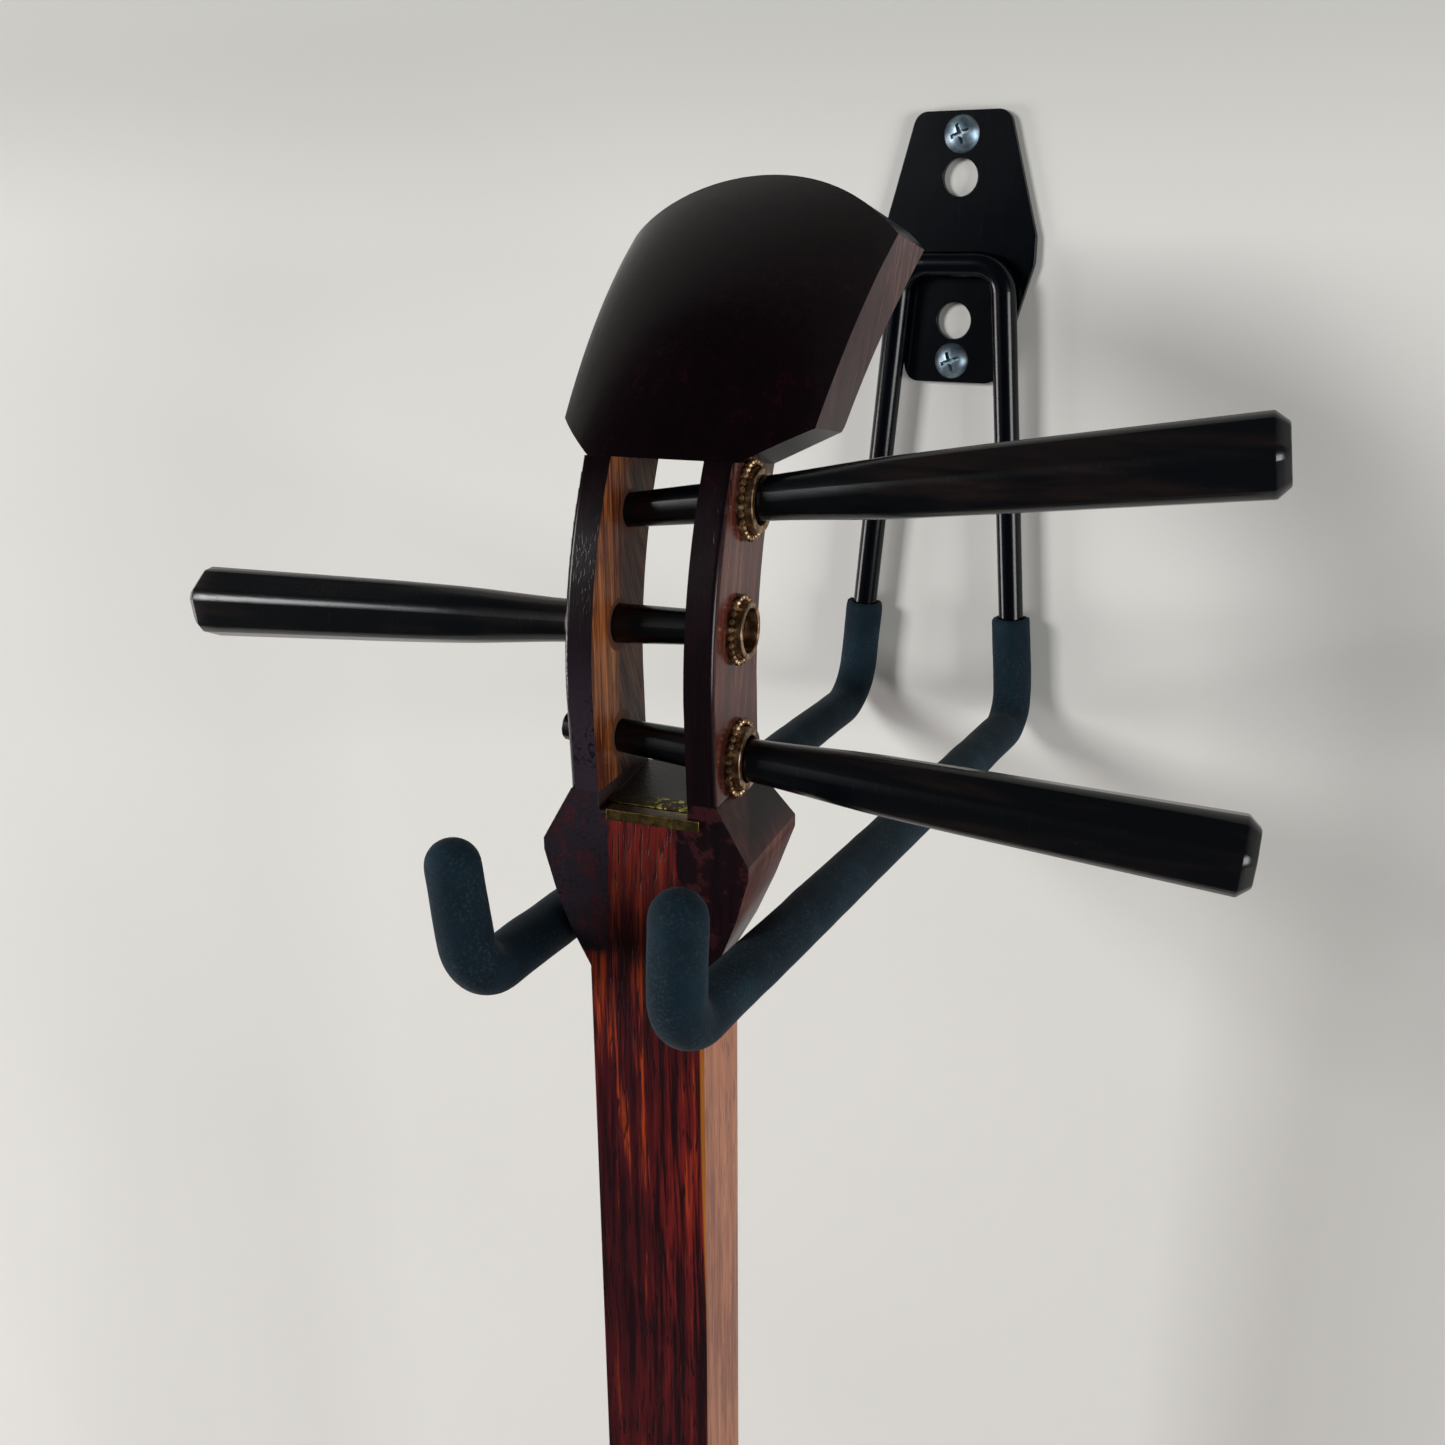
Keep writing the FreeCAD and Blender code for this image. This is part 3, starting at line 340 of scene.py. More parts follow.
GRAIN = effect("hardwood_grain", {"Vector": NO_VECTOR, "Dark": GREY, "Middle": GREY, "Light": GREY,
                                  "Contrast": 2.6, "Pores": 1.0},
               {"Color": "Color", "Height": "Float"}, fill_grain)
WEAR = effect("handling_wear", {"Vector": NO_VECTOR, "Roughness": 0.4, "Spread": 0.15, "Amount": 0.4},
              {"Roughness": "Float", "Dust": "Float"}, fill_wear)
PITS = effect("fine_pits", {"Vector": NO_VECTOR, "Scale": 900.0},
              {"Specks": "Float", "Height": "Float"}, fill_pits)


# -------------------- finishes

@dataclass(frozen=True)
class Surface:
    """What a finish gives its shader: values or outputs, and how deep a height of 1 is in metres."""

    colour: Any
    rough: Any
    height: Any
    depth: float
    specular: Any = 0.5
    metallic: Any = 0.0
    others: dict[str, float] = field(default_factory=dict)


@dataclass(frozen=True)
class Finish:
    """A finish: its name, its roughness and how it is built."""

    name: str
    roughness: float

    def make(self) -> Material:
        """Build the material, with its nodes."""
        material = bpy.data.materials.new(self.name)
        material.use_nodes = True
        material.node_tree.nodes.clear()
        tree = Tree(material.node_tree)
        surface = self.paint(tree)
        bump = tree.node("Bump", {"Height": surface.height, "Distance": surface.depth, "Strength": 1.0})
        inputs = {"Base Color": surface.colour, "Roughness": surface.rough, "Metallic": surface.metallic,
                  "Specular IOR Level": surface.specular, "Normal": bump.outputs[0], **surface.others}
        tree.node("OutputMaterial", {"Surface": tree.node("BsdfPrincipled", inputs).outputs[0]})
        return material

    def paint(self, tree: Tree) -> Surface:
        """Add this finish's own nodes to the material's tree."""
        raise NotImplementedError

    def world_place(self, tree: Tree) -> Socket:
        """The point in the frame's axes."""
        return tree.node("TexCoord").outputs["Object"]

    def lute_place(self, tree: Tree) -> Socket:
        """The point in the lute's own axes, so that the grain runs along its neck."""
        turned = {"Vector": self.world_place(tree), "Location": tuple(PLACE.origin),
                  "Rotation": (0.0, 0.0, PLACE.yaw)}
        return tree.node("Mapping", turned, vector_type="TEXTURE").outputs[0]

    def facing(self, tree: Tree, axis: Vector) -> Socket:
        """How far the surface faces along an axis: 1 along it, -1 against it."""
        values = {0: tree.node("TexCoord").outputs["Normal"], 1: tuple(axis)}
        return tree.node("VectorMath", values, operation="DOT_PRODUCT").outputs["Value"]

    def sideways(self, tree: Tree, low: float, high: float) -> Socket:
        """A mask of the faces that look to the lute's left or right, between two cosines."""
        return tree.step(tree.calc("ABSOLUTE", self.facing(tree, PLACE.across)), low, high)

    def wear(self, tree: Tree, place: Any, spread: float, amount: float) -> tuple[Socket, Socket]:
        """Wear this finish, and give back its roughness, which wanders by the spread, and a dust mask."""
        node = tree.group(WEAR, Vector=place, Roughness=self.roughness, Spread=spread, Amount=amount)
        return node.outputs["Roughness"], node.outputs["Dust"]

    def grain(self, tree: Tree, place: Any, tones: tuple[Any, Any, Any], contrast: float,
              pores: float = 1.0) -> tuple[Socket, Socket]:
        """Add the hardwood grain.

        Args:
            tree: the material's tree.
            place: where it is read.
            tones: the darkest streaks, the ground and the lightest streaks.
            contrast: how hard the streaks are.
            pores: how many pores show.

        Returns:
            The colour and a height.
        """
        dark, middle, light = map(tone, tones)
        node = tree.group(GRAIN, Vector=place, Dark=dark, Middle=middle, Light=light,
                          Contrast=contrast, Pores=pores)
        return node.outputs["Color"], node.outputs["Height"]


@dataclass(frozen=True)
class Lacquer(Finish):
    """Dark lacquer on the head, the pegbox and the flare, with the bare wood that it leaves."""

    front: Colour = (13, 5, 8)
    cheek_front: Colour = (19, 7, 11)
    # The flank browns are partly the thinner lacquer's own colour and partly painted light, as if lit from
    # the right.
    head_flank: Colour = (66, 38, 39)
    cheek_flank: Colour = (78, 36, 30)
    # Painted sheen: a grey-purple reflection laid on the lower left cheek.
    painted_cheek_sheen: Colour = (56, 47, 56)
    cheek_specks: Colour = (12, 10, 14)
    slot_wall: Colour = (136, 80, 42)
    slot_rear: Colour = (92, 58, 38)
    rear_from: float = 10.5 * MM
    sweep: float = 1.6
    head_foot: float = 66.0 * MM
    streak_lean: float = math.radians(13)
    shine: float = 0.20
    head_shine: float = 0.05
    pit_scale: float = 1300.0
    pit_relief: float = 3.0
    grain_relief: float = 0.35
    depth: float = 0.05 * MM
    wander: float = 0.14
    marks: float = 0.3

    def on_head(self, tree: Tree, up: Any, soft: float) -> Socket:
        """A mask of the head, above the pegbox, with a soft border."""
        return tree.step(up, self.head_foot - soft, self.head_foot + soft)

    def in_slot(self, tree: Tree, across: Any) -> Socket:
        """A mask of what lies between the cheeks."""
        return tree.step(tree.calc("ABSOLUTE", across), SLOT_HALF, SLOT_HALF - 0.05 * MM)

    def coat(self, tree: Tree, place: Any) -> tuple[Socket, Socket]:
        """Colour the lacquered faces: near black in front, and on the flanks a lighter brown that is partly a
        thinner lacquer and partly painted light from the right.

        Args:
            tree: the material's tree.
            place: the point in the lute's axes.

        Returns:
            The colour and a height.
        """
        across, _, up = tree.parts(place)
        reddish = tree.times(tree.step(up, 112 * MM, 70 * MM), tree.step(across, -22 * MM, 8 * MM))
        glow = tree.blend(reddish, (20, 9, 12), (40, 9, 10))
        middle = tree.blend(self.on_head(tree, up, 6 * MM), self.cheek_front, self.front)
        front, height = self.grain(tree, place, ((9, 4, 7), middle, glow), 2.4, 0.4)
        # Painted light in part: the faces that look sideways get a lighter brown than the front.
        ground = tree.blend(self.on_head(tree, up, 3 * MM), self.cheek_flank, self.head_flank)
        darker = tree.blend(0.60, ground, (20, 10, 10))
        lighter = tree.blend(0.20, ground, (190, 130, 104))
        flank, _ = self.grain(tree, tree.turned(place, self.streak_lean), (darker, ground, lighter), 3.4)
        return tree.blend(self.sideways(tree, 0.80, 0.95), front, flank), height

    def bare_slot(self, tree: Tree, place: Any, colour: Any) -> tuple[Socket, Socket]:
        """Leave the slot's walls unlacquered: tan in front, browner and cross-grained behind.

        Args:
            tree: the material's tree.
            place: the point in the lute's axes.
            colour: the lacquer's colour.

        Returns:
            The colour and a mask of the bare walls.
        """
        across, back, up = tree.parts(place)
        inside = tree.times(self.in_slot(tree, across), self.sideways(tree, 0.7, 0.9))
        fore, _ = self.grain(tree, place, ((70, 30, 16), self.slot_wall, (176, 116, 66)), 4.2)
        leaning = tree.turned(place, -self.streak_lean * 2)
        rear, _ = self.grain(tree, leaning, ((40, 24, 17), self.slot_rear, (126, 86, 58)), 4.2)
        ragged = tree.times(tree.noise(place, 300.0, 2.0), 1.5 * MM)
        depth = tree.plus(tree.minus(back, tree.times(up, up, self.sweep)), ragged)
        wall = tree.blend(tree.step(depth, self.rear_from, self.rear_from + 1.5 * MM), fore, rear)
        return tree.blend(inside, colour, wall), inside

    def paint(self, tree: Tree) -> Surface:
        """Lacquer with faint grain, pits and a painted sheen low on the left cheek, and bare slot walls."""
        place = self.lute_place(tree)
        colour, height = self.coat(tree, place)
        across, _, up = tree.parts(place)
        pits = tree.group(PITS, Vector=place, Scale=self.pit_scale)
        low = tree.times(tree.step(up, 45 * MM, 15 * MM), tree.step(across, 11 * MM, -4 * MM))
        # Painted sheen: the lower left cheek is lightened 60% towards a grey-purple, as a reflection would
        # light it.
        colour = tree.blend(tree.times(low, 0.6), colour, self.painted_cheek_sheen)
        colour = tree.blend(tree.times(low, pits.outputs["Specks"]), colour, self.cheek_specks)
        colour, bare = self.bare_slot(tree, place, colour)
        rough, _ = self.wear(tree, place, self.wander, self.marks)
        rough = tree.plus(rough, tree.times(bare, 0.28))
        rough = tree.minus(rough, tree.times(low, 0.10))
        dulling = tree.times(self.on_head(tree, up, 6 * MM), self.shine - self.head_shine)
        bumps = tree.times(pits.outputs["Height"], low, self.pit_relief)
        total = tree.plus(tree.times(height, self.grain_relief), bumps)
        return Surface(colour, rough, total, self.depth, tree.minus(self.shine, dulling))


@dataclass(frozen=True)
class NeckWood(Lacquer):
    """Streaked red hardwood with a yellow streak, and the lacquer that ends below the flare."""

    ground: Colour = (132, 34, 26)
    lower_ground: Colour = (92, 24, 26)
    clouded: Colour = (60, 15, 20)
    # The side tone is partly paler wood and partly painted light, as if the side were lit.
    side: Colour = (158, 100, 72)
    yellow: Colour = (176, 112, 34)
    slot_floor_tone: Colour = (48, 38, 36)
    strip_left: float = -7.2 * MM
    strip_right: float = 6.7 * MM
    strip_lean: float = 0.05
    lacquer_foot: float = -30.0 * MM
    corner: float = 12.45 * MM
    wood_shine: float = 0.16

    def wood(self, tree: Tree, place: Any) -> tuple[Socket, Socket, Socket]:
        """Colour the bare neck: streaked red in front, and on the other faces a paler tone that is partly
        paler wood and partly painted light.

        Args:
            tree: the material's tree.
            place: the point in the lute's axes.

        Returns:
            The colour, a mask of the front and a height.
        """
        across, _, up = tree.parts(place)
        ground = tree.blend(tree.step(up, -55 * MM, -130 * MM), self.ground, self.lower_ground)
        slow = tree.noise(tree.stretch(place, z=0.3), 22.0, 1.0)
        low = tree.step(up, -70 * MM, -190 * MM)
        ground = tree.blend(tree.calc("MAXIMUM", low, tree.step(slow, 0.46, 0.62)), ground, self.clouded)
        light = tree.blend(low, (150, 56, 24), (98, 28, 24))
        front, height = self.grain(tree, place, ((28, 8, 12), ground, light), 3.6)
        # Painted light in part: the faces that do not look forward get this paler side tone.
        side, _ = self.grain(tree, place, ((118, 70, 52), self.side, (180, 120, 90)), 2.6)
        wander = tree.noise(tree.stretch(place, z=0.12), 90.0, 2.0)
        shifted = tree.calc("MULTIPLY_ADD", tree.minus(wander, 0.5), 1.2 * MM, across)
        narrow = tree.step(up, -130 * MM, -60 * MM)
        inner = tree.calc("MULTIPLY_ADD", narrow, -0.8 * MM, self.corner - 0.1 * MM)
        streak = tree.step(tree.minus(shifted, inner), -0.2 * MM, 0.2 * MM)
        yellow = tree.blend(tree.step(wander, 0.35, 0.65), self.yellow, (140, 74, 32))
        front = tree.blend(tree.times(streak, 0.85), front, yellow)
        forward = tree.step(tree.times(self.facing(tree, PLACE.backward), -1.0), 0.5, 0.8)
        return tree.blend(forward, side, front), forward, height

    def aged(self, tree: Tree, place: Any, forward: Any, left_side: Any,
             specks: Any) -> tuple[Socket, Socket]:
        """Colour the flare's lacquer: mottled in front, with a painted grey-purple sheen and pits on the
        left.

        Args:
            tree: the material's tree.
            place: the point in the lute's axes.
            forward: a mask of the front.
            left_side: a mask of the left.
            specks: a mask of the pits.

        Returns:
            The colour and a height.
        """
        lacquer, height = self.coat(tree, place)
        # Painted sheen: the flare's left is lightened halfway towards a grey-purple, as a reflection would
        # light it.
        lacquer = tree.blend(tree.times(left_side, 0.5), lacquer, (44, 40, 48))
        patch = tree.step(tree.noise(place, 150.0, 4.0, roughness=0.7), 0.50, 0.58)
        lacquer = tree.blend(tree.times(patch, forward, 0.6), lacquer, (58, 24, 28))
        return tree.blend(tree.times(specks, left_side), lacquer, (16, 13, 18)), height

    def strip(self, tree: Tree, place: Any, forward: Any) -> tuple[Socket, Socket]:
        """Find the bare strip down the flare's front and the bare neck below the lacquer.

        Args:
            tree: the material's tree.
            place: the point in the lute's axes.
            forward: a mask of the front.

        Returns:
            A mask of the strip and a mask of the neck below.
        """
        across, _, up = tree.parts(place)
        ragged = tree.times(tree.minus(tree.noise(place, 260.0, 2.0), 0.5), 1.2 * MM)
        edge = tree.plus(across, ragged)
        drift = tree.calc("MULTIPLY_ADD", up, self.strip_lean, self.strip_left)
        left = tree.step(tree.minus(edge, drift), -0.3 * MM, 0.3 * MM)
        right = tree.step(edge, self.strip_right + 0.6 * MM, self.strip_right - 0.6 * MM)
        foot = tree.calc("MULTIPLY_ADD", ragged, 3.0, self.lacquer_foot)
        below = tree.step(tree.minus(up, foot), 1.2 * MM, -1.2 * MM)
        return tree.times(left, right, forward, tree.step(up, 0.6 * MM, 0.0)), below

    def paint(self, tree: Tree) -> Surface:
        """Bare wood below the flare and in the strip down its front, with painted shadow on the strip, and
        lacquer on the rest.
        """
        place = self.lute_place(tree)
        across, _, up = tree.parts(place)
        wood, forward, wood_height = self.wood(tree, place)
        pits = tree.group(PITS, Vector=place, Scale=self.pit_scale)
        left_side = tree.step(across, 4 * MM, -9 * MM)
        lacquer, height = self.aged(tree, place, forward, left_side, pits.outputs["Specks"])
        strip, below = self.strip(tree, place, forward)
        bare = tree.calc("MAXIMUM", strip, below)
        # Painted shadow: the bare strip on the flare, above the lacquer's foot, is darkened halfway towards a
        # dark red-brown.
        above = tree.times(strip, tree.minus(1.0, below))
        colour = tree.blend(bare, lacquer, tree.blend(tree.times(above, 0.50), wood, (44, 14, 14)))
        # The slot's floor, between the cheeks above the nut, is coloured a dark grey-brown.
        floor = tree.times(self.in_slot(tree, across), tree.step(up, 0.9 * MM, 1.1 * MM))
        colour = tree.blend(floor, colour, self.slot_floor_tone)
        rough, _ = self.wear(tree, place, self.wander, self.marks)
        rough = tree.calc("MULTIPLY_ADD", bare, 0.06, rough)
        bumps = tree.times(pits.outputs["Height"], left_side, self.pit_relief)
        lumps = tree.times(tree.plus(tree.times(height, self.grain_relief), bumps), tree.minus(1.0, bare))
        total = tree.plus(tree.times(wood_height, bare), lumps)
        return Surface(colour, rough, total, self.depth, self.wood_shine)


@dataclass(frozen=True)
class Ebony(Finish):
    """Polished ebony: almost black, with brown clouds and hair-fine grain along the piece."""

    black: Colour = (4, 6, 9)
    brown: Colour = (40, 28, 25)

    def paint(self, tree: Tree) -> Surface:
        """Black with brown zones along X, the way the pegs' grain runs."""
        place = self.world_place(tree)
        clouds = tree.noise(tree.stretch(place, x=0.12), 120.0, 3.0, roughness=0.6)
        hair = tree.noise(tree.stretch(place, x=0.03), 1500.0, 2.0)
        zones = tree.times(tree.step(clouds, 0.50, 0.70), tree.calc("MULTIPLY_ADD", hair, 0.9, 0.2))
        colour = tree.blend(tree.times(zones, 0.7), self.black, self.brown)
        rough, _ = self.wear(tree, place, 0.12, 0.4)
        return Surface(colour, rough, hair, 0.015 * MM, 0.3)


@dataclass(frozen=True)
class Enamel(Finish):
    """Gloss black enamel on steel, with a little orange peel."""

    black: Colour = (1, 3, 7)
    dust: Colour = (14, 18, 24)

    def paint(self, tree: Tree) -> Surface:
        """Black, a little dusty."""
        place = self.world_place(tree)
        rough, dust = self.wear(tree, place, 0.08, 0.3)
        colour = tree.blend(tree.times(dust, 0.2), self.black, self.dust)
        return Surface(colour, rough, tree.noise(place, 650.0, 2.0), 0.015 * MM, 0.22)


@dataclass(frozen=True)
class Foam(Finish):
    """Dark blue-grey foam rubber with a closed, finely pitted skin."""

    dark: Colour = (5, 21, 30)
    middle: Colour = (9, 29, 39)
    light: Colour = (20, 42, 53)
    specks: Colour = (52, 70, 80)

    def paint(self, tree: Tree) -> Surface:
        """Matt, with fine pits, faint rubs and pale specks."""
        place = self.world_place(tree)
        pits = tree.group(PITS, Vector=place, Scale=1500.0)
        clouds = tree.noise(place, 90.0, 4.0, roughness=0.65)
        colour = tree.ramp(clouds, (0.30, self.dark), (0.55, self.middle), (0.80, self.light))
        colour = tree.blend(tree.times(pits.outputs["Specks"], 0.30), colour, self.specks)
        rough, _ = self.wear(tree, place, 0.12, 0.3)
        return Surface(colour, rough, pits.outputs["Height"], 0.12 * MM, 0.12,
                       others={"Sheen Weight": 0.03})


@dataclass(frozen=True)
class Zinc(Finish):
    """Bluish zinc plating on the screws."""

    dull: Colour = (96, 118, 134)
    bright: Colour = (160, 178, 188)

    def paint(self, tree: Tree) -> Surface:
        """Bright metal with a dull bluish bloom."""
        place = self.world_place(tree)
        bloom = tree.noise(place, 480.0, 3.0)
        colour = tree.ramp(bloom, (0.3, self.dull), (0.7, self.bright))
        rough, _ = self.wear(tree, place, 0.2, 0.6)
        return Surface(colour, rough, bloom, 0.03 * MM, metallic=1.0)


@dataclass(frozen=True)
class OldBrass(Finish):
    """Brass gone brown and olive, brighter where it is rubbed."""

    dark: Colour = (54, 40, 28)
    middle: Colour = (122, 95, 68)
    light: Colour = (204, 172, 138)
    flecks: float = 0.0
    fleck_gold: Colour = (196, 184, 92)

    def paint(self, tree: Tree) -> Surface:
        """Tarnish in clouds over a dull gold, with bright flecks where asked, kept as painted light to the
        lit part right of X = 1 mm.
        """
        place = self.world_place(tree)
        clouds = tree.noise(place, 420.0, 4.0, roughness=0.65)
        colour = tree.ramp(clouds, (0.32, self.dark), (0.50, self.middle), (0.70, self.light))
        # Painted light in part: the flecks are the gilt's own speckle, shown only right of X = 1 mm where
        # light falls, so the left part stays dull as if in shade.
        lit_part_flecks = tree.times(tree.step(tree.noise(place, 900.0, 3.0), 0.50, 0.56),
                            tree.step(tree.parts(place)[0], -1 * MM, 3 * MM))
        colour = tree.blend(tree.times(lit_part_flecks, self.flecks), colour, self.fleck_gold)
        rough, _ = self.wear(tree, place, 0.2, 0.6)
        return Surface(colour, rough, clouds, 0.03 * MM,
                       metallic=tree.step(clouds, 0.20, 0.42))


@dataclass(frozen=True)
class BushingBrass(OldBrass):
    """Old brass whose inner end, flush in the slot's wall, is stained like the wood about it."""

    wood: Colour = (96, 56, 34)
    wood_roughness: float = 0.75

    def paint(self, tree: Tree) -> Surface:
        """Brass outside, stained wood inside the slot."""
        brass = super().paint(tree)
        across = tree.calc("ABSOLUTE", tree.parts(self.lute_place(tree))[0])
        inner = tree.step(across, SLOT_HALF + 0.3 * MM, SLOT_HALF + 0.1 * MM)
        return replace(brass, colour=tree.blend(inner, brass.colour, self.wood),
                       metallic=tree.times(brass.metallic, tree.minus(1.0, inner)),
                       rough=tree.calc("MAXIMUM", brass.rough, tree.times(inner, self.wood_roughness)))


@dataclass(frozen=True)
class BoxWood(Finish):
    """Polished reddish hardwood on the sound box, with its grain along each board."""

    level: bool = False
    tones: tuple[Colour, Colour, Colour] = ((48, 20, 14), (112, 50, 28), (158, 84, 46))

    def paint(self, tree: Tree) -> Surface:
        """Warm brown with the grain turned level on the top and bottom boards."""
        place = self.lute_place(tree)
        along = tree.turned(place, y=math.pi / 2 if self.level else 0.0)
        colour, height = self.grain(tree, along, self.tones, 2.4, 0.9)
        rough, _ = self.wear(tree, place, 0.14, 0.3)
        return Surface(colour, rough, height, 0.04 * MM,
                       others={"Coat Weight": 0.35, "Coat Roughness": 0.12})


@dataclass(frozen=True)
class Parchment(Finish):
    """Pale stretched skin, yellower at its glued edge."""

    dull: Colour = (222, 210, 184)
    cream: Colour = (230, 221, 198)
    pale: Colour = (236, 229, 209)
    vein: Colour = (200, 178, 140)
    rim: Colour = (190, 160, 112)
    half: float = 84.0 * MM
    middle: float = -718.5 * MM

    def paint(self, tree: Tree) -> Surface:
        """Cloudy cream with faint veins."""
        place = self.lute_place(tree)
        across, _, up = tree.parts(place)
        clouds = tree.noise(place, 14.0, 3.0, roughness=0.5)
        veins = tree.noise(place, 150.0, 5.0, roughness=0.7, distortion=1.4)
        colour = tree.ramp(clouds, (0.30, self.dull), (0.55, self.cream), (0.75, self.pale))
        colour = tree.blend(tree.times(tree.step(veins, 0.56, 0.72), 0.22), colour, self.vein)
        side = tree.step(tree.calc("ABSOLUTE", across), self.half - 8 * MM, self.half + 2 * MM)
        end = tree.step(tree.calc("ABSOLUTE", tree.minus(up, self.middle)), self.half, self.half + 10 * MM)
        colour = tree.blend(tree.times(tree.calc("MAXIMUM", side, end), 0.45), colour, self.rim)
        rough, _ = self.wear(tree, place, 0.15, 0.3)
        return Surface(colour, rough, veins, 0.08 * MM)


# -------------------- shapes

def link(name: str, mesh: Mesh, smooth_under: float = CREASE) -> Piece:
    """Turn a bmesh into an object of the scene, smooth where its faces meet gently.

    Args:
        name: the piece's name.
        mesh: the bmesh, which is freed.
        smooth_under: the angle, in degrees, up to which two faces are shaded as one.

    Returns:
        The object.
    """
    data = bpy.data.meshes.new(name)
    mesh.to_mesh(data)
    mesh.free()
    data.shade_smooth()
    data.set_sharp_from_angle(angle=math.radians(smooth_under))
    piece = bpy.data.objects.new(name, data)
    bpy.context.scene.collection.objects.link(piece)
    return piece


def dress(piece: Piece, material: Material) -> None:
    """Give a piece one material."""
    piece.data.materials.clear()
    piece.data.materials.append(material)


def merged(node: str) -> Mesh:
    """Copy a solid's mesh with its loose triangles joined into whole faces.

    Args:
        node: the solid's node.

    Returns:
        The copy.
    """
    mesh = bmesh.new()
    mesh.from_mesh(frame["nodes"][node].data)
    bmesh.ops.remove_doubles(mesh, verts=mesh.verts, dist=WELD)
    bmesh.ops.dissolve_limit(mesh, angle_limit=FLAT_WITHIN, verts=mesh.verts, edges=mesh.edges)
    return mesh


def ease(mesh: Mesh, edges: list[Edge], radius: float) -> None:
    """Round some of a mesh's edges.

    Args:
        mesh: the mesh.
        edges: the edges.
        radius: how far they are eased.
    """
    bmesh.ops.bevel(mesh, geom=edges, offset=radius, offset_type="OFFSET", segments=3, profile=0.5,
                    affect="EDGES", clamp_overlap=True, material=-1)


def put_on(piece: Piece, body: Body, node: str, material: Material) -> None:
    """Dress a piece, set it on its body and let it stand for a solid.

    Args:
        piece: the piece.
        body: what it rides on.
        node: the solid that it replaces.
        material: its finish.
    """
    dress(piece, material)
    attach(piece, body.value)
    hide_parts(node)
    LOG.info("%s rides on %s", piece.name, body.value)


def softened(node: str, body: Body, material: Material, radius: float,
             tight: tuple[float, ...] = ()) -> Piece:
    """Stand a copy with eased edges in the place of a crisp solid.

    Args:
        node: the solid's node.
        body: what it rides on.
        material: its finish.
        radius: how far its edges are eased.
        tight: heights above the nut of the glued joints, whose edges stay crisp.

    Returns:
        The new piece.
    """
    mesh = merged(node)
    levels = [PLACE.origin.z + height for height in tight]

    def at_joint(edge: Edge) -> bool:
        """Whether an edge lies in a glued joint."""
        return any(all(abs(vert.co.z - level) < JOINT_PLAY for vert in edge.verts) for level in levels)

    sharp = [edge for edge in mesh.edges if edge.is_manifold and not at_joint(edge)
             and edge.calc_face_angle(0.0) > SHARP]
    ease(mesh, sharp, radius)
    piece = link(node + "_eased", mesh, EASED_CREASE)
    even = piece.modifiers.new("even_shading", "WEIGHTED_NORMAL")
    even.weight = 100
    even.keep_sharp = True
    put_on(piece, body, node, material)
    return piece


# -------------------- sub-assemblies

@dataclass
class WallHanger:
    """The plate, its screws, the bent rod and the two foam sleeves."""

    plate_edge: float = 0.45 * MM
    screw_edge: float = 0.15 * MM
    foam_grain: float = 0.8 * MM
    foam_unevenness: float = 0.16 * MM
    foam_wave: float = 120.0
    foam_rounds: int = 4
    foam_crease: float = 60.0
    enamel: Enamel = Enamel("black_enamel", 0.20)
    foam: Foam = Foam("foam_rubber", 0.80)
    zinc: Zinc = Zinc("zinc_plate", 0.46)

    def sleeve(self, side: str) -> Piece:
        """Make a soft sleeve: an even skin over the tube, eased at its mouth and a little lumpy.

        Args:
            side: left or right.

        Returns:
            The sleeve.
        """
        node = f"foam_sleeve_{side}"
        rough = link(node + "_rough", merged(node))
        skin = rough.modifiers.new("skin", "REMESH")
        skin.mode = "VOXEL"
        skin.voxel_size = self.foam_grain
        graph = bpy.context.evaluated_depsgraph_get()
        data = bpy.data.meshes.new_from_object(rough.evaluated_get(graph))
        bpy.data.objects.remove(rough)
        mesh = bmesh.new()
        mesh.from_mesh(data)
        for _ in range(self.foam_rounds):
            bmesh.ops.smooth_vert(mesh, verts=mesh.verts, factor=0.5, use_axis_x=True, use_axis_y=True,
                                  use_axis_z=True)
        mesh.normal_update()
        for vert in mesh.verts:
            lump = noise.noise(vert.co * self.foam_wave)
            vert.co += vert.normal * lump * self.foam_unevenness
        return link(f"soft_sleeve_{side}", mesh, self.foam_crease)

    def build(self) -> None:
        """Dress every piece of the hanger."""
        enamel, foam, zinc = self.enamel.make(), self.foam.make(), self.zinc.make()
        softened("wall_plate", Body.HANGER, enamel, self.plate_edge)
        dress(frame["nodes"]["hanger_rod"], enamel)
        for side in ("left", "right"):
            piece = self.sleeve(side)
            put_on(piece, Body.HANGER, f"foam_sleeve_{side}", foam)
        for end in ("top", "bottom"):
            softened(f"wall_screw_{end}", Body.HANGER, zinc, self.screw_edge)


